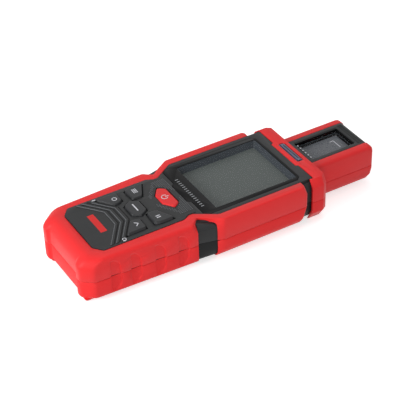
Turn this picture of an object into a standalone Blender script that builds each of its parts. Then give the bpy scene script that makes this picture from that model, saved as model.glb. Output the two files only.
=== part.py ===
"""Hand-held solar irradiance meter, built as the separate pieces that it comes apart into.

All lengths are in metres. The meter lies on its back: X runs across it, Y along it from the lower
end of the grip to the tip of the sensor head, and Z up out of the display. The origin lies on the
surface that the meter rests on, under the middle of its bounding box.
"""

import math

import bmesh
import bpy
from mathutils import Vector

MM = 0.001

# Fits
GAP = 0.3 * MM
WALL = 2.0 * MM
BEYOND = 20.0 * MM

# Lengths along the meter, from the lower end up
BUMPER_REACH = 2.0 * MM
GRIP_LENGTH = 80.5 * MM
WAIST_LENGTH = 13.3 * MM
HEAD_LENGTH = 69.2 * MM
BAND_LENGTH = 7.6 * MM
COLLAR_LENGTH = 9.0 * MM
SENSOR_LENGTH = 50.2 * MM

# Half-widths at the parting plane
END_HALF = 32.2 * MM
GRIP_HALF = 35.4 * MM
HEAD_HALF = 39.0 * MM
CHEEK_STEP = 3.2 * MM
COLLAR_STEP = 1.8 * MM
NECK_STEP = 6.3 * MM
SENSOR_HALF = 21.0 * MM

# Heights
FOOT_HEIGHT = 1.5 * MM
FRONT_HEIGHT = 17.2 * MM
REAR_HEIGHT = 14.8 * MM
SENSOR_DROP = 3.2 * MM
SENSOR_RISE = 2.8 * MM
SENSOR_PARTING_DROP = 2.3 * MM

# Overmould
SKIN = 1.6 * MM
TOP_EDGE = 3.0 * MM
HEAD_TOP_EDGE = 1.2 * MM
END_TOP_EDGE = 8.0 * MM
BOTTOM_EDGE = 4.0 * MM
HEAD_BOTTOM_EDGE = 8.0 * MM
END_BOTTOM_EDGE = 3.0 * MM
CORNER_FACET_X = 6.2 * MM
CORNER_FACET_Y = 7.5 * MM
FOOT_INSET = 13.4 * MM
FOOT_LENGTH = 8.5 * MM
FOOT_WIDTH = 10.0 * MM
FOOT_OVERHANG = 0.5 * MM
FOOT_TAPER = 1.8 * MM
END_LIFT = 2.4 * MM
CHEEK_CHAMFER_X = 1.2 * MM
CHEEK_CHAMFER_Y = 1.5 * MM
CHEEK_START = 3.7 * MM
CHEEK_TOP_SLANT = 2.6 * MM
CHEEK_LOW_SLANT = 4.4 * MM

# Waist of the overmould: how far the notch and the strap draw in, and where they start and end
NOTCH_DROP = 7.1 * MM
NOTCH_LIP = 2.3 * MM
NOTCH_CUT = 7.1 * MM
NOTCH_START = 2.2 * MM
STRAP_CUT = 5.5 * MM
STRAP_END = 4.0 * MM
GRIP_CORNER_LOW = 2.2 * MM
GRIP_CORNER_TOP = 3.5 * MM
WAIST_FLARE = 1.0 * MM

# Depths below the top face, and heights above the back, at which the housing's outline is drawn
FRONT_STEPS = [9.0 * MM, NOTCH_DROP, 4.2 * MM, NOTCH_LIP, 1.1 * MM, 0.4 * MM, 0.0]
REAR_STEPS = [0.0, 0.5 * MM, 1.6 * MM, 3.4 * MM, 5.5 * MM, HEAD_BOTTOM_EDGE]
CORE_FRONT_STEPS = [NOTCH_DROP, 5.5 * MM, 4.2 * MM]
CORE_REAR_STEPS = [3.4 * MM, 5.5 * MM, HEAD_BOTTOM_EDGE]

# Opening in the overmould at the waist, whose top edge falls towards the head
OPENING_SHIFT = 0.8 * MM
OPENING_FALL = 1.3 * MM
OPENING_CORNER = 2.2 * MM

# Black pad that fills the opening and stands out past the strap
PAD_LOW_HALF = 33.6 * MM
PAD_HIGH_HALF = 37.0 * MM
PAD_EDGE = 1.5 * MM
PAD_HEIGHT = 6.0 * MM
PAD_DEPTH = 7.0 * MM

# Waist of the black core, which lies inside the strap and is bare at the side
CORE_SETBACK = 1.2 * MM
CORE_MARGIN = 0.2 * MM
CORE_WAIST_START = 1.0 * MM
CORE_CORNER = 4.5 * MM
CORE_HEAD_INSET = 1.6 * MM
CORE_STRAP_MARGIN = 1.0 * MM
CORE_HEAD_START = 0.5 * MM
CORE_HEAD_END = 3.0 * MM
BAND_LOW_CHAMFER = 4.0 * MM

# Finger grooves along each side of the grip, measured from the lower end
GROOVE_STARTS = [17.0 * MM, 31.3 * MM, 48.8 * MM, 65.4 * MM]
GROOVE_LENGTH = 7.4 * MM
GROOVE_DEPTH = 1.0 * MM
GROOVE_EDGE = 0.9 * MM
GROOVE_END_SHARE = 0.45
GROOVE_STEP_SHARE = 0.2
GROOVE_TOP = 12.5 * MM
GROOVE_LOW = 11.3 * MM

# Black panel inside the overmould's rim
SIDE_RIM = 6.2 * MM
WAIST_RIM = 4.9 * MM
STRAP_RIM = 6.8 * MM
CHEEK_RIM = 6.0 * MM
BACK_RIM = 11.0 * MM
PANEL_START = 11.4 * MM
PANEL_CORNER_X = 6.5 * MM
PANEL_CORNER_Y = 5.3 * MM
PANEL_NECK_START = 5.1 * MM
PANEL_WAIST_DROP = 0.8 * MM
PANEL_NECK_END = 2.2 * MM
PANEL_STRAP_END = 6.2 * MM
PANEL_HEAD_START = 3.4 * MM
DECK_STEP = 0.3 * MM
DECK_CROWN = 1.0 * MM
DECK_THICKNESS = 3.1 * MM
KEYPAD_MARGIN = 8.4 * MM
CROWN_STEPS = 12

# Raised chevrons on the keypad
CHEVRON_COUNT = 3
CHEVRON_PITCH = 4.0 * MM
CHEVRON_WIDTH = 1.9 * MM
CHEVRON_LIFT = 0.5 * MM
CHEVRON_EDGE = 22.4 * MM
CHEVRON_RISE = 12.0 * MM
CHEVRON_FLAT_HALF = 7.5 * MM
CHEVRON_MARGIN = 1.6 * MM

# Keys
KEY_LIFT = 2.6 * MM
POWER_KEY_LIFT = 1.8 * MM
KEY_SLOPE = 0.7 * MM
KEY_TRAVEL = 0.7 * MM
KEY_FIT = 0.3 * MM
EAR_REACH = 1.2 * MM
EAR_HALF = 2.5 * MM
EAR_THICKNESS = 1.2 * MM
POWER_KEY_DROP = 4.5 * MM
UPPER_KEY_DROP = 18.8 * MM
CENTRE_KEY_DROP = 26.9 * MM
LOWER_KEY_DROP = 34.3 * MM
KEY_CHANNEL = 1.0 * MM
KEY_EDGE = 4.6 * MM

# Right-hand corners of the middle keys, about the key's middle
POWER_KEY_CORNERS = [(4.9 * MM, -4.5 * MM), (11.5 * MM, 0.4 * MM), (8.5 * MM, 4.6 * MM)]
CENTRE_KEY_CORNERS = [(5.2 * MM, -5.2 * MM), (8.5 * MM, 0.0 * MM), (5.2 * MM, 5.2 * MM)]

# Corners of the side keys: the share of the way from the inner side to the outer, and the height
UPPER_KEY_CORNERS = [(0.0, -4.8 * MM), (0.92, -4.9 * MM), (1.0, -1.3 * MM), (1.0, 7.9 * MM), (0.0, 1.9 * MM)]
LOWER_KEY_CORNERS = [(0.11, -2.7 * MM), (1.0, -10.0 * MM), (0.97, 3.6 * MM), (0.25, 3.9 * MM),
                     (0.1, 0.5 * MM)]

# Tact switches and board
SWITCH_SIDE = 6.0 * MM
SWITCH_HEIGHT = 3.5 * MM
PLUNGER_RADIUS = 1.7 * MM
PLUNGER_HEIGHT = 1.0 * MM
BOARD_THICKNESS = 1.6 * MM
BOARD_INSET = 2.0 * MM
BOARD_HEAD_INSET = 3.0 * MM
BOARD_STEP = 6.0 * MM
BOARD_START = 19.5 * MM
BOARD_END_CLEARANCE = 11.0 * MM

# Display
BEZEL_WIDTH = 3.5 * MM
WINDOW_START = 5.8 * MM
WINDOW_TOP_MARGIN = 1.4 * MM
LENS_MARGIN = 3.6 * MM
LENS_TOP_MARGIN = 1.8 * MM
LENS_THICKNESS = 1.5 * MM
LENS_CORNER = 3.0 * MM
LENS_LOWER_MARGIN = 10.6 * MM
LENS_TAB_HALF = 9.5 * MM
LENS_TAB_DEPTH = 2.7 * MM
LCD_RIM = 0.4 * MM
LCD_FRAME_WALL = 2.4 * MM
LCD_RIM_THICKNESS = 0.9 * MM
LCD_THICKNESS = 1.7 * MM
BACKLIGHT_THICKNESS = 2.8 * MM

# Neck between the housing and the sensor head
COLLAR_END_WALL = 2.0 * MM
SPIGOT_DROP = 1.0 * MM
SPIGOT_RISE = 3.8 * MM
COLLAR_TAPER_X = 2.2 * MM
COLLAR_TAPER_Y = 3.2 * MM
COLLAR_CHAMFER_X = 3.3 * MM
COLLAR_CHAMFER_Z = 5.5 * MM
COLLAR_LOW_CHAMFER_X = 5.2 * MM
COLLAR_LOW_CHAMFER_Z = 7.5 * MM
SKIRT_REACH = 3.1 * MM
TAB_HALF = 14.5 * MM
TAB_SLANT = 1.6 * MM
TAB_REACH = 2.0 * MM
TAB_THICKNESS = 2.2 * MM

# Light bar in the collar
SLOT_HALF = 12.4 * MM
SLOT_WIDTH = 5.0 * MM
SLOT_OFFSET = 1.6 * MM
SLOT_RIM = 0.7 * MM
SLOT_CORNER = 1.6 * MM
BEZEL_RECESS = 0.5 * MM
BAR_RISE = 0.3 * MM
BAR_THICKNESS = 3.0 * MM
BEZEL_THICKNESS = 1.3 * MM

# Sensor head
SENSOR_EDGE = 2.5 * MM
SENSOR_TIP_EDGE = 4.0 * MM
SENSOR_LOW_EDGE = 4.0 * MM
SENSOR_LOW_TIP_EDGE = 8.5 * MM
SENSOR_CORNER = 2.2 * MM
SENSOR_CORNER_SHARE = 0.3
SENSOR_TOP_STEPS = [SENSOR_TIP_EDGE, 2.2 * MM, 1.0 * MM, 0.3 * MM, 0.0]
SENSOR_LOW_STEPS = [0.0, 0.6 * MM, 1.8 * MM, SENSOR_LOW_EDGE, SENSOR_LOW_TIP_EDGE]
SENSOR_INNER_STEP = 1.2 * MM
FRAME_INSET = 6.5 * MM
FRAME_START = 0.8 * MM
FRAME_THICKNESS = 1.0 * MM
FRAME_ROUND = 1.6 * MM
FRAME_TIP_INSET = 2.0 * MM
FRAME_FLAP_HEIGHT = 13.0 * MM
PORT_INSET = 3.6 * MM
PORT_START = 5.3 * MM
PORT_TIP_MARGIN = 9.1 * MM
PORT_BEVEL = 0.6 * MM
PORT_CORNER = 1.0 * MM
PORT_LIP = 0.3 * MM
GLASS_MARGIN = 1.2 * MM
GLASS_THICKNESS = 1.5 * MM
CARRIER_MARGIN = 4.2 * MM
CARRIER_TIP_MARGIN = 2.2 * MM
CARRIER_THICKNESS = 3.8 * MM
CELL_MARGIN = 1.4 * MM
CELL_RECESS = 1.6 * MM
CELL_THICKNESS = 0.9 * MM
SENSOR_BOARD_THICKNESS = 1.6 * MM
SENSOR_POST_RADIUS = 2.0 * MM
SENSOR_POST_INSET = 3.0 * MM

# Battery bay and door
CELL_RADIUS = 5.25 * MM
CELL_LENGTH = 43.7 * MM
CELL_NUB_RADIUS = 1.9 * MM
CELL_NUB_LENGTH = 0.8 * MM
CELL_PITCH = 11.0 * MM
CELL_COUNT = 3
BAY_START = 7.1 * MM
BAY_CLEARANCE = 0.75 * MM
BAY_WALL = 1.8 * MM
SPRING_LENGTH = 5.5 * MM
SPRING_WIRE = 0.35 * MM
SPRING_TURNS = 3.0
CONTACT_THICKNESS = 0.5 * MM
CONTACT_SIDE = 8.0 * MM
DOOR_THICKNESS = 2.1 * MM
DOOR_TONGUE = 1.0 * MM
DOOR_LIP = 0.7 * MM
DOOR_END = 2.6 * MM
DOOR_OVERLAP = 2.6 * MM
DOOR_RIB_COUNT = 4
DOOR_RIB_PITCH = 2.2 * MM
DOOR_RIB_START = 8.0 * MM
DOOR_RIB_DEPTH = 0.5 * MM

# Screws and bosses
SCREW_HEAD_RADIUS = 2.2 * MM
SCREW_HEAD_HEIGHT = 1.5 * MM
SCREW_RADIUS = 1.2 * MM
BOSS_WALL = 1.7 * MM
CASE_SCREW_LOW = 13.1 * MM
CASE_SCREW_HIGH = 4.2 * MM
SCREW_SEAT = 5.5 * MM
SCREW_GRIP = 6.0 * MM
BOARD_SCREW_INSET = 9.5 * MM
BOARD_SCREW_LOW_X = 7.0 * MM
BOARD_SCREW_LOW = 24.2 * MM
BOARD_SCREW_HIGH = 7.0 * MM
BOARD_SCREW_GRIP = 3.5 * MM
SENSOR_SCREW_SIDE = 6.4 * MM
SENSOR_SCREW_INSET = 7.0 * MM

# Electronics on the boards
CHIP_SIDE = 12.0 * MM
CHIP_HEIGHT = 1.4 * MM
BUZZER_RADIUS = 6.0 * MM
BUZZER_HEIGHT = 3.0 * MM
RIBBON_HALF = 6.0 * MM
RIBBON_THICKNESS = 0.4 * MM
LED_SIDE = 2.4 * MM
LED_HEIGHT = 0.8 * MM

ROUND_STEPS = 16
SCREW_STEPS = 12

# Stations and levels that follow from the sizes above
TOTAL_LENGTH = (BUMPER_REACH + GRIP_LENGTH + WAIST_LENGTH + HEAD_LENGTH + BAND_LENGTH
                + COLLAR_LENGTH + SENSOR_LENGTH)
END_Y = BUMPER_REACH - TOTAL_LENGTH / 2
WAIST_Y = END_Y + GRIP_LENGTH
HEAD_Y = WAIST_Y + WAIST_LENGTH
BAND_Y = HEAD_Y + HEAD_LENGTH
COLLAR_Y = BAND_Y + BAND_LENGTH
SENSOR_Y = COLLAR_Y + COLLAR_LENGTH
TIP_Y = SENSOR_Y + SENSOR_LENGTH
BASE_Z = FOOT_HEIGHT
PARTING_Z = BASE_Z + REAR_HEIGHT
TOP_Z = PARTING_Z + FRONT_HEIGHT
SHOULDER_Z = TOP_Z - SKIN - GAP
BACK_SHOULDER_Z = BASE_Z + SKIN + GAP
UNDER_DECK_Z = TOP_Z - DECK_THICKNESS
SENSOR_TOP_Z = TOP_Z - SENSOR_DROP
SENSOR_BASE_Z = SENSOR_RISE
SENSOR_PARTING_Z = PARTING_Z - SENSOR_PARTING_DROP
SPIGOT_TOP_Z = UNDER_DECK_Z - SPIGOT_DROP
SPIGOT_Z = BASE_Z + SPIGOT_RISE
EAR_TOP_Z = UNDER_DECK_Z - GAP
EAR_Z = EAR_TOP_Z - EAR_THICKNESS
BOARD_TOP_Z = EAR_Z - KEY_TRAVEL - GAP - PLUNGER_HEIGHT - SWITCH_HEIGHT
BOARD_Z = BOARD_TOP_Z - BOARD_THICKNESS
DOOR_TOP_Z = BASE_Z + DOOR_THICKNESS
BAY_HALF = CELL_PITCH + CELL_RADIUS + BAY_CLEARANCE
BAY_Y = END_Y + BAY_START
BAY_LENGTH = CELL_LENGTH + CELL_NUB_LENGTH + SPRING_LENGTH + 2 * CONTACT_THICKNESS + 5 * GAP
BAY_TOP_Z = DOOR_TOP_Z + 2 * CELL_RADIUS + 3 * GAP
CELL_Z = DOOR_TOP_Z + CELL_RADIUS + 1.5 * GAP
CELL_START = BAY_Y + CONTACT_THICKNESS + SPRING_LENGTH + 3 * GAP
FRAME_Z = SENSOR_TOP_Z - FRAME_THICKNESS
GLASS_TOP_Z = FRAME_Z - GAP
GLASS_Z = GLASS_TOP_Z - GLASS_THICKNESS
CARRIER_TOP_Z = GLASS_Z - GAP
CARRIER_Z = CARRIER_TOP_Z - CARRIER_THICKNESS
SENSOR_BOARD_TOP_Z = CARRIER_Z - GAP
SENSOR_BOARD_Z = SENSOR_BOARD_TOP_Z - SENSOR_BOARD_THICKNESS
PORT_Y = SENSOR_Y + PORT_START
PORT_END = TIP_Y - PORT_TIP_MARGIN
WINDOW_Y = HEAD_Y + WINDOW_START
WINDOW_END = BAND_Y - WINDOW_TOP_MARGIN
TAB_Y = COLLAR_Y - TAB_REACH
BAND_HALF = HEAD_HALF - CHEEK_STEP
COLLAR_HALF = BAND_HALF + COLLAR_STEP
NOTCH_HALF = GRIP_HALF - NOTCH_CUT
STRAP_HALF = HEAD_HALF - STRAP_CUT
PANEL_HALF = END_HALF - SIDE_RIM
PANEL_WAIST_HALF = NOTCH_HALF - WAIST_RIM
PANEL_STRAP_HALF = STRAP_HALF - STRAP_RIM
PANEL_HEAD_HALF = HEAD_HALF - CHEEK_RIM
BACK_HEAD_HALF = HEAD_HALF - BACK_RIM
FOOT_INSIDE = END_HALF - FOOT_INSET
LENS_HALF = PANEL_HEAD_HALF - BEZEL_WIDTH
WINDOW_HALF = LENS_HALF - LENS_MARGIN
SPIGOT_HALF = BAND_HALF - NECK_STEP
SPIGOT_LENGTH = COLLAR_LENGTH - COLLAR_END_WALL
BOARD_HALF = PANEL_HALF - BOARD_INSET
BOARD_HEAD_HALF = PANEL_HEAD_HALF - BOARD_HEAD_INSET
BOARD_SCREW_X = BOARD_HEAD_HALF - BOARD_SCREW_INSET
CASE_SCREW_X = BAY_HALF + BAY_WALL + SCREW_HEAD_RADIUS + GAP + BOSS_WALL
FRAME_HALF = SENSOR_HALF - FRAME_INSET
PORT_HALF = FRAME_HALF - PORT_INSET
SENSOR_SCREW_X = SENSOR_HALF - SENSOR_SCREW_SIDE


def clear_scene():
    """Remove whatever the file opened with."""
    for item in list(bpy.data.objects):
        bpy.data.objects.remove(item, do_unlink=True)


def material(name, colour, roughness, metallic=0.0, alpha=1.0):
    """A Principled material with one plain colour."""
    made = bpy.data.materials.new(name)
    made.use_nodes = True
    shader = made.node_tree.nodes["Principled BSDF"]
    shader.inputs["Base Color"].default_value = (*colour, 1.0)
    shader.inputs["Roughness"].default_value = roughness
    shader.inputs["Metallic"].default_value = metallic
    shader.inputs["Alpha"].default_value = alpha
    made.diffuse_color = (*colour, alpha)
    return made


def solid(bm, name="solid"):
    """Turn a bmesh into an object, with its faces pointing out."""
    bmesh.ops.recalc_face_normals(bm, faces=bm.faces)
    mesh = bpy.data.meshes.new(name)
    bm.to_mesh(mesh)
    bm.free()
    made = bpy.data.objects.new(name, mesh)
    bpy.context.collection.objects.link(made)
    return made


def loft(levels):
    """A closed solid through outlines of equal length: levels is a list of (z, outline)."""
    bm = bmesh.new()
    rows = [[bm.verts.new((x, y, z)) for x, y in outline] for z, outline in levels]
    for low, high in zip(rows, rows[1:]):
        for i in range(len(low)):
            j = (i + 1) % len(low)
            bm.faces.new((low[i], low[j], high[j], high[i]))
    bm.faces.new(reversed(rows[0]))
    bm.faces.new(rows[-1])
    bm.normal_update()
    bmesh.ops.triangulate(bm, faces=bm.faces)
    return solid(bm)


def prism(outline, z0, z1):
    """An outline extruded from z0 up to z1."""
    return loft([(z0, outline), (z1, outline)])


def block(x0, x1, y0, y1, z0, z1):
    """A box given by its six faces."""
    return prism([(x0, y0), (x1, y0), (x1, y1), (x0, y1)], z0, z1)


def centred_block(half, y0, y1, z0, z1):
    """A box that is as wide on either side of the meter's middle."""
    return block(-half, half, y0, y1, z0, z1)


def circle(x, y, radius, steps=ROUND_STEPS):
    """The outline of a circle."""
    return [(x + radius * math.cos(2 * math.pi * i / steps), y + radius * math.sin(2 * math.pi * i / steps))
            for i in range(steps)]


def post(x, y, radius, z0, z1, steps=ROUND_STEPS):
    """An upright cylinder."""
    return prism(circle(x, y, radius, steps), z0, z1)


def mirrored(half_outline):
    """A whole outline from its right half, which starts and ends on the middle line."""
    left = [(-x, y) for x, y in reversed(half_outline) if x > 0]
    return list(half_outline) + left


def flipped(outline):
    """An outline on the other side of the middle line."""
    return [(-x, y) for x, y in reversed(outline)]


def shifted(outline, dx, dy):
    """An outline moved in its plane."""
    return [(x + dx, y + dy) for x, y in outline]


def offset(outline, distance):
    """An outline grown outwards by a distance, or shrunk by a negative one, with mitred corners."""
    grown = []
    for i, corner in enumerate(outline):
        here = Vector(corner)
        before = (here - Vector(outline[i - 1])).normalized()
        after = (Vector(outline[(i + 1) % len(outline)]) - here).normalized()
        out_before = Vector((before.y, -before.x))
        out_after = Vector((after.y, -after.x))
        mitre = out_before + out_after
        grown.append(tuple(here + mitre * (2 * distance / mitre.length_squared)))
    return grown


def rounded_box(half, y0, y1, radius, steps=4):
    """The outline of a rectangle about the middle line with round corners."""
    corners = [(half - radius, y0 + radius, -90), (half - radius, y1 - radius, 0),
               (-half + radius, y1 - radius, 90), (-half + radius, y0 + radius, 180)]
    outline = []
    for x, y, start in corners:
        for i in range(steps + 1):
            angle = math.radians(start + 90 * i / steps)
            outline.append((x + radius * math.cos(angle), y + radius * math.sin(angle)))
    return outline


def combine(target, tool, operation):
    """Apply a Boolean to target with tool, which is used up."""
    step = target.modifiers.new(operation.lower(), "BOOLEAN")
    step.operation = operation
    step.solver = "EXACT"
    step.object = tool
    graph = bpy.context.evaluated_depsgraph_get()
    mesh = bpy.data.meshes.new_from_object(target.evaluated_get(graph))
    target.modifiers.clear()
    target.data = mesh
    bpy.data.objects.remove(tool, do_unlink=True)
    return target


def cut(target, *tools):
    """Cut each tool out of target."""
    for tool in tools:
        combine(target, tool, "DIFFERENCE")
    return target


def fuse(target, *tools):
    """Join each tool to target as one solid."""
    for tool in tools:
        combine(target, tool, "UNION")
    return target


def kept(piece, region):
    """A copy of the part of a piece that lies inside a region, which is used up."""
    copy = piece.copy()
    copy.data = piece.data.copy()
    bpy.context.collection.objects.link(copy)
    return combine(copy, region, "INTERSECT")


def finish(piece, name, look, smooth_angle=None):
    """Name a piece, give it its material and clean its mesh."""
    bm = bmesh.new()
    bm.from_mesh(piece.data)
    bmesh.ops.remove_doubles(bm, verts=bm.verts, dist=0.001 * MM)
    bmesh.ops.dissolve_degenerate(bm, edges=bm.edges, dist=0.001 * MM)
    bmesh.ops.dissolve_limit(bm, angle_limit=math.radians(0.05), verts=bm.verts, edges=bm.edges)
    bm.normal_update()
    bmesh.ops.triangulate(bm, faces=bm.faces)
    bmesh.ops.recalc_face_normals(bm, faces=bm.faces)
    bm.to_mesh(piece.data)
    bm.free()
    piece.name = name
    piece.data.name = name
    piece.data.materials.clear()
    piece.data.materials.append(look)
    if smooth_angle is not None:
        piece.data.shade_smooth()
        piece.data.set_sharp_from_angle(angle=math.radians(smooth_angle))
    return piece


def edge_inset(z, edge_z, radius):
    """How far a rounded edge has drawn in at height z, where the edge's plane is at edge_z."""
    depth = min(abs(edge_z - z), radius)
    return radius - math.sqrt(radius ** 2 - (radius - depth) ** 2)


def blend_share(z):
    """How far the notch above the waist has opened: 0 at its foot and 1 from its lip up."""
    return min(max((z - TOP_Z + NOTCH_DROP) / (NOTCH_DROP - NOTCH_LIP), 0.0), 1.0)


def mix(low, high, share):
    """A value between two others."""
    return low + (high - low) * share


def grip_half(y):
    """The grip's half-width, which grows evenly from its lower end to the waist."""
    return mix(END_HALF, GRIP_HALF, (y - END_Y) / GRIP_LENGTH)


def cheek_end(z):
    """Where the cheeks end at height z: their rear edge leans in above and below."""
    top_share = max((z - TOP_Z + NOTCH_DROP) / NOTCH_DROP, 0.0)
    low_share = max((PARTING_Z - z) / REAR_HEIGHT, 0.0)
    return BAND_Y - top_share * CHEEK_TOP_SLANT - low_share * CHEEK_LOW_SLANT


def skin_outline(z):
    """The overmould's outline at height z, from the lower end to the end of the cheeks."""
    front = z > PARTING_Z
    edge_z = TOP_Z if front else BASE_Z
    side = edge_inset(z, edge_z, TOP_EDGE if front else BOTTOM_EDGE)
    head = edge_inset(z, edge_z, HEAD_TOP_EDGE if front else HEAD_BOTTOM_EDGE)
    end = edge_inset(z, edge_z, END_TOP_EDGE if front else END_BOTTOM_EDGE)
    reach = BUMPER_REACH * min((edge_z - z) / NOTCH_DROP, 1.0) if front else BUMPER_REACH
    share = blend_share(z)
    y = END_Y + end
    facet_y = y - reach + CORNER_FACET_Y
    notch_y = WAIST_Y + NOTCH_START
    strap_y = HEAD_Y - STRAP_END
    corner_y = WAIST_Y - mix(GRIP_CORNER_LOW, GRIP_CORNER_TOP, share)
    return mirrored([
        (0, y),
        (FOOT_INSIDE, y),
        (FOOT_INSIDE + BUMPER_REACH, y - reach),
        (grip_half(y) - side - CORNER_FACET_X, y - reach),
        (grip_half(facet_y) - side, facet_y),
        (grip_half(corner_y) - side, corner_y),
        (mix(GRIP_HALF - side, NOTCH_HALF, share), notch_y),
        (mix(GRIP_HALF - side + WAIST_FLARE, STRAP_HALF, share), strap_y),
        (HEAD_HALF - head, HEAD_Y + CHEEK_START),
        (HEAD_HALF - head, cheek_end(z) - CHEEK_CHAMFER_Y),
        (HEAD_HALF - head - CHEEK_CHAMFER_X, cheek_end(z)),
        (0, cheek_end(z)),
    ])


def band_half(z):
    """The black housing's half-width behind the cheeks and at the band, with chamfered edges."""
    top_share = max((z - (TOP_Z - COLLAR_CHAMFER_Z)) / COLLAR_CHAMFER_Z, 0.0)
    low_share = max((HEAD_BOTTOM_EDGE + BASE_Z - z) / HEAD_BOTTOM_EDGE, 0.0)
    return BAND_HALF - top_share * (BAND_HALF - PANEL_HEAD_HALF) - low_share * BAND_LOW_CHAMFER


def core_outline(z):
    """The black housing's outline at height z, under the overmould and bare at waist and band."""
    front = z > PARTING_Z
    edge_z = TOP_Z if front else BASE_Z
    side = edge_inset(z, edge_z, TOP_EDGE if front else BOTTOM_EDGE)
    end = edge_inset(z, edge_z, END_TOP_EDGE if front else END_BOTTOM_EDGE)
    share = blend_share(z)
    low = 0.0 if front else edge_inset(z, BASE_Z, HEAD_BOTTOM_EDGE)
    y = END_Y + SKIN + end
    corner_y = WAIST_Y - CORE_CORNER
    return mirrored([
        (0, y),
        (grip_half(y) - side - SKIN - CORNER_FACET_X, y),
        (grip_half(y + CORNER_FACET_Y) - side - SKIN, y + CORNER_FACET_Y),
        (grip_half(corner_y) - side - SKIN, corner_y),
        (mix(GRIP_HALF - side - CORE_SETBACK, NOTCH_HALF + CORE_MARGIN, share),
         WAIST_Y + CORE_WAIST_START),
        (mix(HEAD_HALF - CORE_HEAD_INSET - low, STRAP_HALF + CORE_STRAP_MARGIN, share),
         HEAD_Y + CORE_HEAD_START),
        (band_half(z), HEAD_Y + CORE_HEAD_END),
        (band_half(z), COLLAR_Y - GAP),
        (0, COLLAR_Y - GAP),
    ])


def panel_outline(start_y, head_half):
    """The black panel that shows inside the overmould's rim, from start_y to the collar."""
    return mirrored([
        (0, start_y),
        (PANEL_HALF - PANEL_CORNER_X, start_y),
        (PANEL_HALF, start_y + PANEL_CORNER_Y),
        (PANEL_HALF, WAIST_Y - PANEL_NECK_START),
        (PANEL_WAIST_HALF, WAIST_Y - PANEL_WAIST_DROP),
        (PANEL_WAIST_HALF, WAIST_Y + PANEL_NECK_END),
        (PANEL_STRAP_HALF, HEAD_Y - PANEL_STRAP_END),
        (head_half, HEAD_Y + PANEL_HEAD_START),
        (head_half, COLLAR_Y - GAP),
        (0, COLLAR_Y - GAP),
    ])


FRONT_LEVELS = [PARTING_Z + GAP / 2] + [TOP_Z - step for step in FRONT_STEPS]
REAR_LEVELS = [BASE_Z + step for step in REAR_STEPS] + [PARTING_Z - GAP / 2]
CORE_FRONT_LEVELS = [PARTING_Z + GAP / 2] + [TOP_Z - step for step in CORE_FRONT_STEPS] + [SHOULDER_Z]
CORE_REAR_LEVELS = [BACK_SHOULDER_Z] + [BASE_Z + step for step in CORE_REAR_STEPS] + [PARTING_Z - GAP / 2]


def deck_height(x):
    """The keypad's crowned top surface above the rim."""
    return TOP_Z + DECK_STEP + DECK_CROWN * (1 - (x / PANEL_HALF) ** 2)


def bridge(near, far):
    """A closed solid between two sections with the same number of points."""
    bm = bmesh.new()
    first = [bm.verts.new(point) for point in near]
    last = [bm.verts.new(point) for point in far]
    for i in range(len(first)):
        j = (i + 1) % len(first)
        bm.faces.new((first[i], first[j], last[j], last[i]))
    bm.faces.new(reversed(first))
    bm.faces.new(last)
    bm.normal_update()
    bmesh.ops.triangulate(bm, faces=bm.faces)
    return solid(bm)


def crosswise(profile, x0, x1):
    """A profile of (y, z) points extruded across the meter from x0 to x1."""
    return bridge([(x0, y, z) for y, z in profile], [(x1, y, z) for y, z in profile])


def crown(y0, y1, lift):
    """A slab whose top follows the keypad's crown, raised by lift."""
    xs = [mix(-PANEL_HALF - MM, PANEL_HALF + MM, i / CROWN_STEPS) for i in range(CROWN_STEPS + 1)]
    low = SHOULDER_Z - MM
    section = [(xs[0], low), (xs[-1], low)] + [(x, deck_height(x) + lift) for x in reversed(xs)]
    return bridge([(x, y0, z) for x, z in section], [(x, y1, z) for x, z in section])


def keypad_outline():
    """The crowned part of the panel, from its lower end to the display lens."""
    edge = offset(panel_outline(END_Y + PANEL_START, PANEL_HEAD_HALF), -GAP)
    end_y = HEAD_Y - KEYPAD_MARGIN
    lower = [point for point in edge if point[0] > 0 and point[1] < WAIST_Y + 2 * PANEL_NECK_END]
    right = sorted(lower, key=lambda point: point[1])
    return mirrored([(0, right[0][1])] + right + [(right[-1][0], end_y), (0, end_y)])


def chevron(index):
    """One raised chevron: slanted arms that meet a short straight run across the middle."""
    base = END_Y + CHEVRON_EDGE + index * CHEVRON_PITCH
    low = [(PANEL_HALF - CHEVRON_MARGIN, base), (CHEVRON_FLAT_HALF, base + CHEVRON_RISE)]
    outline = low + flipped(low) + shifted(list(reversed(low + flipped(low))), 0, CHEVRON_WIDTH)
    bar = prism(outline, SHOULDER_Z - 0.5 * MM, TOP_Z + DECK_CROWN + 5 * MM)
    y0 = base - MM
    return combine(bar, crown(y0, y0 + CHEVRON_RISE + CHEVRON_PITCH, CHEVRON_LIFT), "INTERSECT")


def key_outlines():
    """The top outline of each key, at its place on the keypad."""
    inner = CENTRE_KEY_CORNERS[1][0] + KEY_CHANNEL
    outer = PANEL_HALF - KEY_EDGE
    power = middle_key(POWER_KEY_CORNERS, WAIST_Y - POWER_KEY_DROP)
    centre = middle_key(CENTRE_KEY_CORNERS, WAIST_Y - CENTRE_KEY_DROP)
    upper = [(mix(inner, outer, share), WAIST_Y - UPPER_KEY_DROP + y) for share, y in UPPER_KEY_CORNERS]
    lower = [(mix(inner, outer, share), WAIST_Y - LOWER_KEY_DROP + y) for share, y in LOWER_KEY_CORNERS]
    return {
        "power_key": power,
        "centre_key": centre,
        "upper_right_key": upper,
        "upper_left_key": flipped(upper),
        "lower_right_key": lower,
        "lower_left_key": flipped(lower),
    }


def middle_key(corners, y):
    """The outline of a key on the middle line, from its right-hand corners."""
    return shifted(mirrored([(0, corners[0][1])] + corners + [(0, corners[-1][1])]), 0, y)


def middle(outline):
    """The middle of an outline's points."""
    return (sum(x for x, y in outline) / len(outline), sum(y for x, y in outline) / len(outline))


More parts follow.
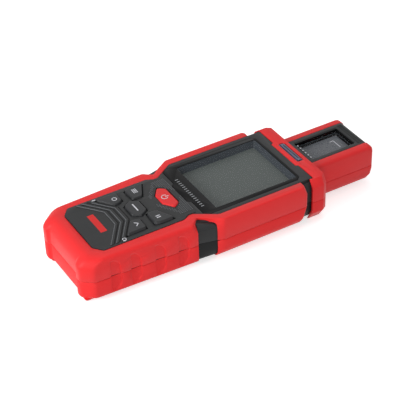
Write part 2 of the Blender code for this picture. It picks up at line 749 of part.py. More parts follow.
def key_cap(outline, lift):
    """A key with sloped sides above the deck, a straight shank through it and two ears below."""
    foot = offset(outline, KEY_SLOPE)
    slope_z = TOP_Z + DECK_STEP + DECK_CROWN / 2
    cap = loft([(EAR_Z, foot), (slope_z, foot), (TOP_Z + lift, outline)])
    x = middle(outline)[0]
    y0 = min(y for _, y in foot) - EAR_REACH
    y1 = max(y for _, y in foot) + EAR_REACH
    return fuse(cap, block(x - EAR_HALF, x + EAR_HALF, y0, y1, EAR_Z, EAR_TOP_Z))


def key_switch(outline):
    """A tact switch on the board under a key: a square case with a round plunger."""
    x, y = middle(outline)
    half = SWITCH_SIDE / 2
    low = BOARD_TOP_Z
    case = block(x - half, x + half, y - half, y + half, low + GAP / 10, low + SWITCH_HEIGHT)
    return fuse(case, post(x, y, PLUNGER_RADIUS, low + SWITCH_HEIGHT - GAP,
                           low + SWITCH_HEIGHT + PLUNGER_HEIGHT))


def lens_outline():
    """The display lens, with a shallow tab at its lower edge."""
    half = LENS_HALF
    low = WINDOW_Y - LENS_LOWER_MARGIN
    high = WINDOW_END + LENS_TOP_MARGIN
    return mirrored([
        (0, low - LENS_TAB_DEPTH),
        (LENS_TAB_HALF, low - LENS_TAB_DEPTH),
        (LENS_TAB_HALF + LENS_TAB_DEPTH, low),
        (half - LENS_CORNER, low),
        (half, low + LENS_CORNER),
        (half, high - LENS_CORNER),
        (half - LENS_CORNER, high),
        (0, high),
    ])


def case_screw_places():
    """Where the four case screws stand."""
    return [(side * CASE_SCREW_X, y) for side in (-1, 1)
            for y in (END_Y + CASE_SCREW_LOW, COLLAR_Y - CASE_SCREW_HIGH)]


def board_screw_places():
    """Where the four board screws stand."""
    return [(side * x, y) for side in (-1, 1)
            for x, y in ((BOARD_SCREW_LOW_X, END_Y + BOARD_SCREW_LOW),
                         (BOARD_SCREW_X, HEAD_Y - BOARD_SCREW_HIGH))]


def sensor_screw_places():
    """Where the two screws of the sensor head stand."""
    return [(side * SENSOR_SCREW_X, TIP_Y - SENSOR_SCREW_INSET) for side in (-1, 1)]


def screw(x, y, seat_z, tip_z):
    """A screw put in from below, its head under seat_z."""
    low = seat_z - GAP - SCREW_HEAD_HEIGHT
    head = post(x, y, SCREW_HEAD_RADIUS, low, seat_z - GAP, SCREW_STEPS)
    return fuse(head, post(x, y, SCREW_RADIUS, low + SCREW_HEAD_HEIGHT / 2, tip_z, SCREW_STEPS))


def screws(name, places, seat_z, tip_z, look):
    """One numbered screw at each place."""
    for number, (x, y) in enumerate(places, start=1):
        finish(screw(x, y, seat_z, tip_z), "%s_%d" % (name, number), look, 40)


def front_shell():
    """The black front half: side walls, crowned keypad deck, lens seat, bosses and half the neck."""
    shell = loft([(z, core_outline(z)) for z in CORE_FRONT_LEVELS])
    panel = offset(panel_outline(END_Y + PANEL_START, PANEL_HEAD_HALF), -GAP)
    fuse(shell, prism(panel, SHOULDER_Z - MM, TOP_Z))
    pad = combine(prism(keypad_outline(), SHOULDER_Z - 0.5 * MM, TOP_Z + DECK_CROWN + 5 * MM),
                  crown(END_Y, HEAD_Y, 0.0), "INTERSECT")
    fuse(shell, pad)
    for index in range(CHEVRON_COUNT):
        fuse(shell, chevron(index))
    inner = [(z, offset(core_outline(max(z, PARTING_Z + GAP / 2)), -WALL))
             for z in (PARTING_Z - MM, TOP_Z - COLLAR_CHAMFER_Z, UNDER_DECK_Z)]
    cut(shell, loft(inner))
    neck_end = COLLAR_Y + SPIGOT_LENGTH
    fuse(shell, centred_block(SPIGOT_HALF, COLLAR_Y - WALL, neck_end, PARTING_Z + GAP / 2, SPIGOT_TOP_Z))
    cut(shell, centred_block(SPIGOT_HALF - WALL, COLLAR_Y - BEYOND / 2, neck_end + MM, PARTING_Z - MM,
                             SPIGOT_TOP_Z - WALL))
    for side in (-1, 1):
        fuse(shell, waist_pad(side))
    for x, y in case_screw_places():
        fuse(shell, post(x, y, SCREW_RADIUS + GAP + BOSS_WALL, PARTING_Z + GAP / 2, UNDER_DECK_Z + GAP))
        cut(shell, post(x, y, SCREW_RADIUS + GAP, PARTING_Z - MM, PARTING_Z + SCREW_GRIP + GAP))
    for x, y in board_screw_places():
        fuse(shell, post(x, y, SCREW_RADIUS + GAP + BOSS_WALL / 2, BOARD_TOP_Z + GAP, UNDER_DECK_Z + GAP))
        cut(shell, post(x, y, SCREW_RADIUS + GAP, BOARD_TOP_Z, BOARD_TOP_Z + BOARD_SCREW_GRIP + GAP))
    cut(shell, prism(offset(lens_outline(), GAP), TOP_Z - LENS_THICKNESS - GAP, TOP_Z + MM * 5))
    cut(shell, centred_block(WINDOW_HALF, WINDOW_Y, WINDOW_END, UNDER_DECK_Z - MM, TOP_Z))
    for outline in key_outlines().values():
        cut(shell, prism(offset(outline, KEY_SLOPE + KEY_FIT), UNDER_DECK_Z - MM, TOP_Z + 5 * MM))
    notch = mirrored([(0, TAB_Y - GAP), (TAB_HALF + GAP, TAB_Y - GAP),
                      (TAB_HALF + TAB_SLANT + GAP, COLLAR_Y), (TAB_HALF + TAB_SLANT + GAP, COLLAR_Y + MM),
                      (0, COLLAR_Y + MM)])
    cut(shell, prism(notch, TOP_Z - TAB_THICKNESS - GAP, TOP_Z + MM))
    return shell


def groove(start, side):
    """The cutter of one finger groove: deep at its lower side, and shallower up to a step at the other."""
    y0 = END_Y + start

    def section(depth, length_share):
        y1 = y0 + GROOVE_LENGTH * length_share
        face0 = grip_half(y0)
        face1 = grip_half(y1)
        step = depth * GROOVE_STEP_SHARE
        points = [(face0 + CORNER_FACET_X, y0), (face0 - step, y0), (face0 - depth, y0 + GROOVE_EDGE),
                  (face1 - depth * GROOVE_END_SHARE, y1 - GROOVE_EDGE / 2), (face1 - step, y1),
                  (face1 + CORNER_FACET_X, y1)]
        return [(side * x, y) for x, y in points]

    arch = [(-1.0, -0.6, 0.5), (-0.8, 0.6, 0.85), (-0.5, 1.0, 1.0), (0.6, 1.0, 1.0), (0.85, 0.7, 0.85),
            (1.0, -0.3, 0.5)]
    return loft([(PARTING_Z + rise * (GROOVE_TOP if rise > 0 else GROOVE_LOW),
                  section(GROOVE_DEPTH * depth_share, length_share))
                 for rise, depth_share, length_share in arch])


def groove_starts():
    """Where the grooves that fit on the grip start."""
    return [start for start in GROOVE_STARTS if start + GROOVE_LENGTH < GRIP_LENGTH]


def waist_opening(side, shrink):
    """The opening in the overmould that bares the waist, drawn in all round by shrink."""
    x0, x1 = sorted((side * (PANEL_WAIST_HALF - WAIST_RIM), side * (HEAD_HALF + BEYOND)))
    y0 = WAIST_Y - OPENING_SHIFT + shrink
    y1 = HEAD_Y - OPENING_SHIFT - shrink
    top = SHOULDER_Z + GAP - shrink
    profile = [(y0, -BEYOND), (y1, -BEYOND), (y1, top - OPENING_FALL - OPENING_CORNER),
               (y1 - OPENING_CORNER, top - OPENING_FALL), (y0, top)]
    return crosswise(profile, x0, x1)


def waist_pad(side):
    """The black pad that fills the upper part of the waist's opening."""
    y0 = WAIST_Y - OPENING_SHIFT
    y1 = HEAD_Y - OPENING_SHIFT

    def section(inset):
        points = [(PAD_LOW_HALF - PAD_DEPTH, y0), (PAD_LOW_HALF - inset, y0), (PAD_HIGH_HALF - inset, y1),
                  (PAD_HIGH_HALF - PAD_DEPTH, y1)]
        return points if side > 0 else flipped(points)

    low = SHOULDER_Z - PAD_HEIGHT
    pad = loft([(low, section(PAD_EDGE)), (low + PAD_EDGE, section(0.0)),
                (SHOULDER_Z - PAD_EDGE, section(0.0)), (SHOULDER_Z, section(PAD_EDGE))])
    return combine(pad, waist_opening(side, GAP), "INTERSECT")


def front_overmould():
    """The red rubber skin of the front half: grip rim, waist straps and cheeks in one moulding."""
    skin = loft([(z, skin_outline(z)) for z in FRONT_LEVELS])
    below = [(PARTING_Z - MM, offset(core_outline(CORE_FRONT_LEVELS[0]), GAP))]
    core = [(z, offset(core_outline(z), GAP)) for z in CORE_FRONT_LEVELS[:-1]]
    top = [(SHOULDER_Z + GAP, offset(core_outline(SHOULDER_Z), GAP))]
    cut(skin, loft(below + core[1:] + top))
    cut(skin, prism(panel_outline(END_Y + PANEL_START, PANEL_HEAD_HALF), SHOULDER_Z - MM, TOP_Z + MM))
    for side in (-1, 1):
        cut(skin, waist_opening(side, 0.0))
        for start in groove_starts():
            cut(skin, groove(start, side))
    return skin


def rear_shell():
    """The black rear half: floor, battery bay with the door's rails, screw bosses and half the neck."""
    shell = loft([(z, core_outline(z)) for z in CORE_REAR_LEVELS])
    panel = offset(panel_outline(END_Y + PANEL_START / 2, BACK_HEAD_HALF), -GAP)
    fuse(shell, prism(panel, BASE_Z, BACK_SHOULDER_Z + MM))
    floor_z = BACK_SHOULDER_Z + WALL
    inner = [(z, offset(core_outline(min(z, PARTING_Z - GAP / 2)), -WALL))
             for z in (floor_z, BASE_Z + HEAD_BOTTOM_EDGE, PARTING_Z + MM)]
    cut(shell, loft(inner))
    cut(shell, prism(offset(panel, -WALL), BASE_Z + WALL, floor_z + MM))
    bay_end = BAY_Y + BAY_LENGTH
    rail_end = bay_end + DOOR_OVERLAP + GAP
    seat_z = BASE_Z + DOOR_LIP
    fuse(shell, centred_block(BAY_HALF + BAY_WALL, BAY_Y - BAY_WALL, rail_end + WALL, seat_z, floor_z))
    fuse(shell, centred_block(BAY_HALF + BAY_WALL, BAY_Y - BAY_WALL, bay_end + BAY_WALL, seat_z,
                              BAY_TOP_Z + BAY_WALL * 0.6))
    for x, y in case_screw_places():
        fuse(shell, post(x, y, SCREW_HEAD_RADIUS + GAP + BOSS_WALL / 2, BACK_SHOULDER_Z,
                         PARTING_Z - GAP / 2))
        cut(shell, post(x, y, SCREW_HEAD_RADIUS + GAP, -MM, BASE_Z + SCREW_SEAT))
        cut(shell, post(x, y, SCREW_RADIUS + GAP, BASE_Z, PARTING_Z + MM))
    neck_end = COLLAR_Y + SPIGOT_LENGTH
    low = SPIGOT_Z
    fuse(shell, centred_block(SPIGOT_HALF, COLLAR_Y - WALL, neck_end, low, PARTING_Z - GAP / 2))
    cut(shell, centred_block(SPIGOT_HALF - WALL, COLLAR_Y - WALL - MM, neck_end + MM, low + WALL,
                             PARTING_Z + MM))
    cut(shell, centred_block(BAY_HALF, BAY_Y, bay_end, -MM, BAY_TOP_Z))
    cut(shell, centred_block(BAY_HALF - DOOR_TONGUE / 2 + GAP, END_Y - MM, rail_end, -MM, DOOR_TOP_Z))
    cut(shell, centred_block(BAY_HALF + DOOR_TONGUE / 2 + GAP, END_Y - MM, rail_end, BASE_Z + DOOR_LIP,
                             DOOR_TOP_Z + GAP))
    return shell


def foot(side):
    """A foot at a lower corner, which carries the grip."""
    x0 = side * (FOOT_INSIDE + FOOT_WIDTH / 2)
    y0 = END_Y + FOOT_LENGTH / 2 - FOOT_OVERHANG

    def section(grow):
        half_x = FOOT_WIDTH / 2 + grow
        half_y = FOOT_LENGTH / 2 + grow
        return [(x0 - half_x, y0 - half_y), (x0 + half_x, y0 - half_y), (x0 + half_x, y0 + half_y),
                (x0 - half_x, y0 + half_y)]

    return loft([(0.0, section(-FOOT_TAPER)), (BASE_Z * 0.5, section(-FOOT_TAPER * 0.5)),
                 (BASE_Z + MM, section(-FOOT_TAPER * 0.1))])


def rear_skin():
    """The red rubber of the rear half before it is parted into the grip and the two cheeks."""
    skin = loft([(z, skin_outline(z)) for z in REAR_LEVELS])
    for side in (-1, 1):
        fuse(skin, foot(side))
    core = [(z, offset(core_outline(z), GAP)) for z in CORE_REAR_LEVELS[1:-1]]
    bottom = [(BACK_SHOULDER_Z - GAP, offset(core_outline(BACK_SHOULDER_Z), GAP))]
    above = [(PARTING_Z + MM, offset(core_outline(CORE_REAR_LEVELS[-1]), GAP))]
    cut(skin, loft(bottom + core + above))
    cut(skin, prism(panel_outline(END_Y + PANEL_START / 2, BACK_HEAD_HALF), -MM, BACK_SHOULDER_Z + MM))
    for side in (-1, 1):
        cut(skin, waist_opening(side, 0.0))
        for start in groove_starts():
            cut(skin, groove(start, side))
    cut(skin, centred_block(FOOT_INSIDE, END_Y - BEYOND, END_Y + PANEL_START, -MM, BASE_Z + END_LIFT))
    return skin


def rear_overmould(looks):
    """The rear skin as its three separate mouldings."""
    skin = rear_skin()
    split_y = (WAIST_Y + HEAD_Y) / 2
    wide = HEAD_HALF + BEYOND
    grip = kept(skin, centred_block(wide, END_Y - BEYOND, split_y, -BEYOND, TOP_Z))
    finish(grip, "rear_grip_overmould", looks["red"], 30)
    left = kept(skin, block(-wide, 0, split_y, TIP_Y, -BEYOND, TOP_Z))
    finish(left, "rear_left_cheek", looks["red"], 30)
    right = kept(skin, block(0, wide, split_y, TIP_Y, -BEYOND, TOP_Z))
    finish(right, "rear_right_cheek", looks["red"], 30)
    bpy.data.objects.remove(skin, do_unlink=True)


def collar_half_width(z):
    """The collar's half-width at height z, with its four long edges chamfered."""
    top = max((z - (TOP_Z - COLLAR_CHAMFER_Z)) / COLLAR_CHAMFER_Z, 0.0)
    low = max((COLLAR_LOW_CHAMFER_Z - z) / COLLAR_LOW_CHAMFER_Z, 0.0)
    return COLLAR_HALF - top * COLLAR_CHAMFER_X - low * COLLAR_LOW_CHAMFER_X


def collar_outline(z):
    """The collar's outline at height z, with a skirt over each side of the band."""
    half = collar_half_width(z)
    inner = band_half(z) + GAP
    return mirrored([(0, COLLAR_Y), (inner, COLLAR_Y), (inner, COLLAR_Y - SKIRT_REACH),
                     (half, COLLAR_Y - SKIRT_REACH), (half, SENSOR_Y - COLLAR_TAPER_Y),
                     (half - COLLAR_TAPER_X, SENSOR_Y), (0, SENSOR_Y)])


def sensor_outline(z):
    """The sensor head's outline at height z, from inside the collar to the tip."""
    half = (SENSOR_HALF - edge_inset(z, SENSOR_TOP_Z, SENSOR_EDGE)
            - edge_inset(z, SENSOR_BASE_Z, SENSOR_LOW_EDGE))
    tip = (TIP_Y - edge_inset(z, SENSOR_TOP_Z, SENSOR_TIP_EDGE)
           - edge_inset(z, SENSOR_BASE_Z, SENSOR_LOW_TIP_EDGE))
    cut_in = SENSOR_CORNER * SENSOR_CORNER_SHARE
    return mirrored([(0, SENSOR_Y - MM), (half, SENSOR_Y - MM), (half, tip - SENSOR_CORNER),
                     (half - cut_in, tip - cut_in), (half - SENSOR_CORNER, tip), (0, tip)])


SENSOR_FRONT_LEVELS = [SENSOR_PARTING_Z + GAP / 2] + [SENSOR_TOP_Z - step for step in SENSOR_TOP_STEPS]
SENSOR_REAR_LEVELS = [SENSOR_BASE_Z + step for step in SENSOR_LOW_STEPS] + [SENSOR_PARTING_Z - GAP / 2]


def slot_outline(inset):
    """The light bar's slot in the collar, shrunk by inset."""
    y0 = COLLAR_Y + SLOT_OFFSET
    return rounded_box(SLOT_HALF - inset, y0 + inset, y0 + SLOT_WIDTH - inset, SLOT_CORNER - inset)


def sensor_front_shell():
    """The red upper half of the sensor head, with the collar's upper half and its tab."""
    collar_levels = [PARTING_Z + GAP / 2, TOP_Z - COLLAR_CHAMFER_Z, TOP_Z]
    shell = loft([(z, collar_outline(z)) for z in collar_levels])
    tab = mirrored([(0, TAB_Y), (TAB_HALF, TAB_Y), (TAB_HALF + TAB_SLANT, COLLAR_Y),
                    (TAB_HALF + TAB_SLANT, COLLAR_Y + MM), (0, COLLAR_Y + MM)])
    fuse(shell, prism(tab, TOP_Z - TAB_THICKNESS, TOP_Z))
    fuse(shell, loft([(z, sensor_outline(z)) for z in SENSOR_FRONT_LEVELS]))
    cut(shell, centred_block(COLLAR_HALF + BEYOND, COLLAR_Y - BEYOND, SENSOR_Y + GAP, 0, PARTING_Z + GAP / 2))
    inner_end = COLLAR_Y + SPIGOT_LENGTH + GAP
    cut(shell, centred_block(SPIGOT_HALF + GAP, COLLAR_Y - MM, inner_end, PARTING_Z - MM, SPIGOT_TOP_Z + GAP))
    deck_z = FRAME_Z - GAP - GLASS_THICKNESS
    inside = SENSOR_HALF - WALL - SENSOR_INNER_STEP
    cavity_end = TIP_Y - 2 * WALL - FRAME_TIP_INSET
    cut(shell, centred_block(inside, COLLAR_Y + MM, cavity_end, SENSOR_PARTING_Z - MM, deck_z))
    cut(shell, prism(slot_outline(0), TOP_Z - BEZEL_THICKNESS - BEZEL_RECESS, TOP_Z + MM))
    cut(shell, prism(slot_outline(SLOT_RIM + GAP), SPIGOT_TOP_Z, TOP_Z + MM))
    seat_y = SENSOR_Y + FRAME_START
    cut(shell, centred_block(FRAME_HALF + GAP, seat_y, TIP_Y + MM, FRAME_Z - GAP, SENSOR_TOP_Z + MM))
    flap_y = TIP_Y - FRAME_TIP_INSET - WALL
    cut(shell, centred_block(FRAME_HALF + GAP, flap_y - GAP, TIP_Y + MM,
                             SENSOR_TOP_Z - FRAME_FLAP_HEIGHT - GAP, SENSOR_TOP_Z + MM))
    glass = GLASS_MARGIN + GAP
    cut(shell, centred_block(PORT_HALF + glass, PORT_Y - glass, PORT_END + glass, deck_z - MM, SENSOR_TOP_Z))
    for x, y in sensor_screw_places():
        fuse(shell, post(x, y, SCREW_RADIUS + GAP + BOSS_WALL / 2, SENSOR_PARTING_Z + GAP / 2, deck_z + GAP))
        cut(shell, post(x, y, SCREW_RADIUS + GAP, SENSOR_PARTING_Z - MM, SENSOR_PARTING_Z + SCREW_GRIP + GAP))
    return shell


def sensor_rear_shell():
    """The red lower half of the sensor head, with the collar's lower half."""
    collar_levels = [0.0, COLLAR_LOW_CHAMFER_Z, BASE_Z + HEAD_BOTTOM_EDGE, PARTING_Z - GAP / 2]
    shell = loft([(z, collar_outline(z)) for z in collar_levels])
    fuse(shell, loft([(z, sensor_outline(z)) for z in SENSOR_REAR_LEVELS]))
    low = SPIGOT_Z - GAP
    inner_end = COLLAR_Y + SPIGOT_LENGTH + GAP
    cut(shell, centred_block(SPIGOT_HALF + GAP, COLLAR_Y - MM, inner_end, low, PARTING_Z + MM))
    inside = SENSOR_HALF - WALL - SENSOR_INNER_STEP
    floor_z = SENSOR_BASE_Z + WALL
    cut(shell, centred_block(inside, COLLAR_Y + MM, TIP_Y - SENSOR_LOW_TIP_EDGE, floor_z, PARTING_Z + MM))
    for x, y in sensor_board_posts():
        fuse(shell, post(x, y, SENSOR_POST_RADIUS, floor_z - GAP, SENSOR_BOARD_Z - GAP))
    for x, y in sensor_screw_places():
        fuse(shell, post(x, y, SCREW_HEAD_RADIUS + GAP + BOSS_WALL / 2, floor_z - GAP,
                         SENSOR_PARTING_Z - GAP / 2))
        cut(shell, post(x, y, SCREW_HEAD_RADIUS + GAP, 0, floor_z + SCREW_HEAD_HEIGHT))
        cut(shell, post(x, y, SCREW_RADIUS + GAP, 0, PARTING_Z + MM))
    return shell


def sensor_board_posts():
    """The posts that the sensor board stands on."""
    return [(side * (PORT_HALF - MM), y) for side in (-1, 1)
            for y in (PORT_Y + SENSOR_POST_INSET, PORT_END - SENSOR_POST_INSET)]


def sensor_frame():
    """The black frame on top of the sensor head, which turns down over its tip."""
    y0 = SENSOR_Y + FRAME_START + GAP
    y1 = TIP_Y - FRAME_TIP_INSET
    top = SENSOR_TOP_Z
    flap_z = top - FRAME_FLAP_HEIGHT
    cut_in = FRAME_ROUND * SENSOR_CORNER_SHARE
    profile = [(y0, FRAME_Z), (y1 - WALL, FRAME_Z), (y1 - WALL, flap_z), (y1, flap_z),
               (y1, top - FRAME_ROUND), (y1 - cut_in, top - cut_in), (y1 - FRAME_ROUND, top), (y0, top)]
    plate = crosswise(profile, -FRAME_HALF, FRAME_HALF)
    wide = rounded_box(PORT_HALF + PORT_BEVEL, PORT_Y - PORT_BEVEL, PORT_END + PORT_BEVEL,
                       PORT_CORNER + PORT_BEVEL)
    narrow = rounded_box(PORT_HALF, PORT_Y, PORT_END, PORT_CORNER)
    cut(plate, loft([(FRAME_Z - MM, narrow), (FRAME_Z + PORT_LIP, narrow),
                     (SENSOR_TOP_Z - PORT_LIP / 2, wide), (SENSOR_TOP_Z + MM, wide)]))
    return plate


def relieve_for_screws(plate):
    """Clear a plate in the sensor head round the bosses of its screws."""
    for x, y in sensor_screw_places():
        cut(plate, post(x, y, SCREW_RADIUS + BOSS_WALL / 2 + 2 * GAP, SENSOR_BASE_Z, SENSOR_TOP_Z))


def sensor_stack(looks):
    """What lies under the sensor's window: glass, reference cell, carrier and board."""
    glass = rounded_box(PORT_HALF + GLASS_MARGIN, PORT_Y - GLASS_MARGIN, PORT_END + GLASS_MARGIN, PORT_CORNER)
    finish(prism(glass, GLASS_Z, GLASS_TOP_Z), "sensor_window", looks["glass"])
    half = PORT_HALF + CARRIER_MARGIN
    y0 = PORT_Y - CARRIER_MARGIN
    y1 = PORT_END + CARRIER_TIP_MARGIN
    carrier = centred_block(half, y0, y1, CARRIER_Z, CARRIER_TOP_Z)
    cell_half = PORT_HALF - CELL_MARGIN
    cell_y = (PORT_Y + CELL_MARGIN, PORT_END - CELL_MARGIN)
    cell_top = CARRIER_TOP_Z - CELL_RECESS
    cell_low = cell_top - CELL_THICKNESS
    cut(carrier, centred_block(cell_half + GAP, cell_y[0] - GAP, cell_y[1] + GAP, cell_low - GAP,
                               CARRIER_TOP_Z + MM))
    relieve_for_screws(carrier)
    finish(carrier, "cell_carrier", looks["dark"])
    cell = centred_block(cell_half, *cell_y, cell_low, cell_top)
    finish(cell, "reference_cell", looks["silicon"])
    board = centred_block(half, y0, y1, SENSOR_BOARD_Z, SENSOR_BOARD_TOP_Z)
    relieve_for_screws(board)
    finish(board, "sensor_board", looks["board"])
    screws("sensor_screw", sensor_screw_places(), SENSOR_BASE_Z + WALL + SCREW_HEAD_HEIGHT,
           SENSOR_PARTING_Z + SCREW_GRIP, looks["steel"])


def display(looks):
    """The lens and the display module under it."""
    lens = prism(lens_outline(), TOP_Z - LENS_THICKNESS, TOP_Z)
    finish(lens, "display_lens", looks["glass"])
    outer_half = WINDOW_HALF + LCD_FRAME_WALL
    outer = (WINDOW_Y - LCD_FRAME_WALL, WINDOW_END + LCD_FRAME_WALL / 2)
    inner = (WINDOW_Y + LCD_RIM, WINDOW_END - LCD_RIM)
    frame = centred_block(outer_half, *outer, BOARD_TOP_Z + GAP, UNDER_DECK_Z - GAP)
    pocket_top = UNDER_DECK_Z - GAP - LCD_RIM_THICKNESS
    pocket_half = outer_half - LCD_FRAME_WALL / 2
    pocket = (outer[0] + LCD_FRAME_WALL / 2, outer[1] - LCD_FRAME_WALL / 2)
    cut(frame, centred_block(pocket_half, *pocket, BOARD_Z, pocket_top))
    cut(frame, centred_block(WINDOW_HALF - LCD_RIM, *inner, BOARD_Z, TOP_Z))
    finish(frame, "lcd_frame", looks["dark"])
    panel_top = pocket_top - GAP
    fit = (pocket[0] + GAP, pocket[1] - GAP)
    panel = centred_block(pocket_half - GAP, *fit, panel_top - LCD_THICKNESS, panel_top)
    finish(panel, "lcd_panel", looks["lcd"])
    low = BOARD_TOP_Z + GAP
    backlight = centred_block(pocket_half - GAP, *fit, low, low + BACKLIGHT_THICKNESS)
    finish(backlight, "lcd_backlight", looks["white"])


def boards(looks):
    """The main board, its parts and screws, and the ribbon to the sensor board."""
    start = END_Y + BOARD_START
    step_y = HEAD_Y - 2 * MM
    end = COLLAR_Y - BOARD_END_CLEARANCE
    outline = mirrored([(0, start), (BOARD_HALF, start), (BOARD_HALF, step_y - BOARD_STEP),
                        (BOARD_HEAD_HALF, step_y), (BOARD_HEAD_HALF, end), (0, end)])
    board = prism(outline, BOARD_Z, BOARD_TOP_Z)
    for x, y in board_screw_places():
        cut(board, post(x, y, SCREW_RADIUS + GAP, BOARD_Z - MM, BOARD_TOP_Z + MM))
    finish(board, "main_board", looks["board"])
    screws("board_screw", board_screw_places(), BOARD_Z, BOARD_TOP_Z + BOARD_SCREW_GRIP, looks["steel"])
    for name, key in key_outlines().items():
        finish(key_switch(key), name.replace("key", "switch"), looks["steel"])
    under = BOARD_Z - GAP / 10
    chip_y = HEAD_Y + HEAD_LENGTH / 3
    chip = centred_block(CHIP_SIDE / 2, chip_y, chip_y + CHIP_SIDE, under - CHIP_HEIGHT, under)
    finish(chip, "controller_chip", looks["dark"])
    buzzer = post(0, WAIST_Y, BUZZER_RADIUS, under - BUZZER_HEIGHT, under)
    finish(buzzer, "buzzer", looks["dark"], 40)
    y0 = end - 5 * MM
    y1 = PORT_Y + 2 * MM
    ribbon_low = BOARD_Z - GAP - RIBBON_THICKNESS
    ribbon_high = SENSOR_BOARD_Z - GAP - RIBBON_THICKNESS
    path = [(y0, ribbon_low), (end, ribbon_low), (PORT_Y - CARRIER_MARGIN, ribbon_high), (y1, ribbon_high)]
    finish(ribbon(path), "sensor_ribbon", looks["ribbon"])


def ribbon(path):
    """A flat cable of even thickness along a path of (y, z) points."""
    bm = bmesh.new()
    rows = []
    for y, z in path:
        rows.append([bm.verts.new((x, y, z + rise)) for x, rise in
                     ((-RIBBON_HALF, 0), (RIBBON_HALF, 0), (RIBBON_HALF, RIBBON_THICKNESS),
                      (-RIBBON_HALF, RIBBON_THICKNESS))])
    for low, high in zip(rows, rows[1:]):
        for i in range(4):
            j = (i + 1) % 4
            bm.faces.new((low[i], low[j], high[j], high[i]))
    bm.faces.new(reversed(rows[0]))
    bm.faces.new(rows[-1])
    return solid(bm)


def light_bar(looks):
    """The translucent bar in the collar, its bezel and the lamp under it."""
    bezel_low = TOP_Z - BEZEL_RECESS - BEZEL_THICKNESS + GAP
    bezel = prism(slot_outline(GAP), bezel_low, TOP_Z - BEZEL_RECESS)
    cut(bezel, prism(slot_outline(SLOT_RIM), bezel_low - MM, TOP_Z + MM))
    finish(bezel, "light_bar_bezel", looks["black"])
    bar = prism(slot_outline(SLOT_RIM + 2 * GAP), TOP_Z + BAR_RISE - BAR_THICKNESS, TOP_Z + BAR_RISE)
    finish(bar, "light_bar", looks["lamp"])
    low = SPIGOT_TOP_Z + GAP
    y = COLLAR_Y + SLOT_OFFSET + SLOT_WIDTH / 2
    led = block(-LED_SIDE / 2, LED_SIDE / 2, y - LED_SIDE / 4, y + LED_SIDE / 4, low, low + LED_HEIGHT)
    finish(led, "status_led", looks["white"])


def along_y(x, z, radius, y0, y1):
    """A cylinder that lies along Y."""
    made = post(0, 0, radius, y0, y1)
    for vert in made.data.vertices:
        vert.co = (x + vert.co.x, vert.co.z, z - vert.co.y)
    return made


def cell_places():
    """The middle of each battery cell across the bay."""
    return [(i - (CELL_COUNT - 1) / 2) * CELL_PITCH for i in range(CELL_COUNT)]


def contact_spring(x):
    """A coil spring behind a cell, as a wire that follows a helix."""
    steps = 9
    sides = 4
    bm = bmesh.new()
    rows = []
    y0 = BAY_Y + GAP + CONTACT_THICKNESS
    rise = CELL_START - GAP - SPRING_WIRE - y0
    count = int(steps * SPRING_TURNS)
    along = Vector((0, 1, 0))
    for i in range(count + 1):
        share = i / count
        angle = 2 * math.pi * SPRING_TURNS * share
        radius = mix(CELL_RADIUS * 0.62, CELL_RADIUS * 0.42, share)
        out = Vector((math.cos(angle), 0, math.sin(angle)))
        centre = Vector((x, y0 + rise * share, CELL_Z)) + out * radius
        turns = [2 * math.pi * k / sides for k in range(sides)]
        rows.append([bm.verts.new(centre + SPRING_WIRE * (out * math.cos(turn) + along * math.sin(turn)))
                     for turn in turns])
    for low, high in zip(rows, rows[1:]):
        for k in range(sides):
            j = (k + 1) % sides
            bm.faces.new((low[k], low[j], high[j], high[k]))
    bm.faces.new(reversed(rows[0]))
    bm.faces.new(rows[-1])
    return solid(bm)


def batteries(looks):
    """Three cells in the bay, with a sprung contact behind each and a flat one before it."""
    half = CONTACT_SIDE / 2
    for number, x in enumerate(cell_places(), start=1):
        cell = along_y(x, CELL_Z, CELL_RADIUS, CELL_START, CELL_START + CELL_LENGTH)
        nub_y = CELL_START + CELL_LENGTH
        fuse(cell, along_y(x, CELL_Z, CELL_NUB_RADIUS, nub_y - MM, nub_y + CELL_NUB_LENGTH))
        finish(cell, "battery_%d" % number, looks["battery"], 40)
        low_y = BAY_Y + GAP
        high_y = nub_y + CELL_NUB_LENGTH + GAP
        sprung = block(x - half, x + half, low_y, low_y + CONTACT_THICKNESS, CELL_Z - half, CELL_Z + half)
        fuse(sprung, contact_spring(x))
        finish(sprung, "spring_contact_%d" % number, looks["steel"], 40)
        flat = block(x - half, x + half, high_y, high_y + CONTACT_THICKNESS, CELL_Z - half, CELL_Z + half)
        finish(flat, "flat_contact_%d" % number, looks["steel"])


def battery_door(looks):
    """The sliding battery door: a plate with a tongue along each side and finger ribs."""
    y0 = END_Y + DOOR_END
    y1 = BAY_Y + BAY_LENGTH + DOOR_OVERLAP
    door = centred_block(BAY_HALF - DOOR_TONGUE / 2, y0, y1, BASE_Z, DOOR_TOP_Z - GAP)
    fuse(door, centred_block(BAY_HALF + DOOR_TONGUE / 2, y0 + PANEL_START / 2, y1, BASE_Z + DOOR_LIP + GAP,
                             DOOR_TOP_Z - GAP))
    for i in range(DOOR_RIB_COUNT):
        y = y0 + DOOR_RIB_START + i * DOOR_RIB_PITCH
        cut(door, centred_block(BAY_HALF / 2, y, y + DOOR_RIB_PITCH / 2, -MM, BASE_Z + DOOR_RIB_DEPTH))
    finish(door, "battery_door", looks["black"])


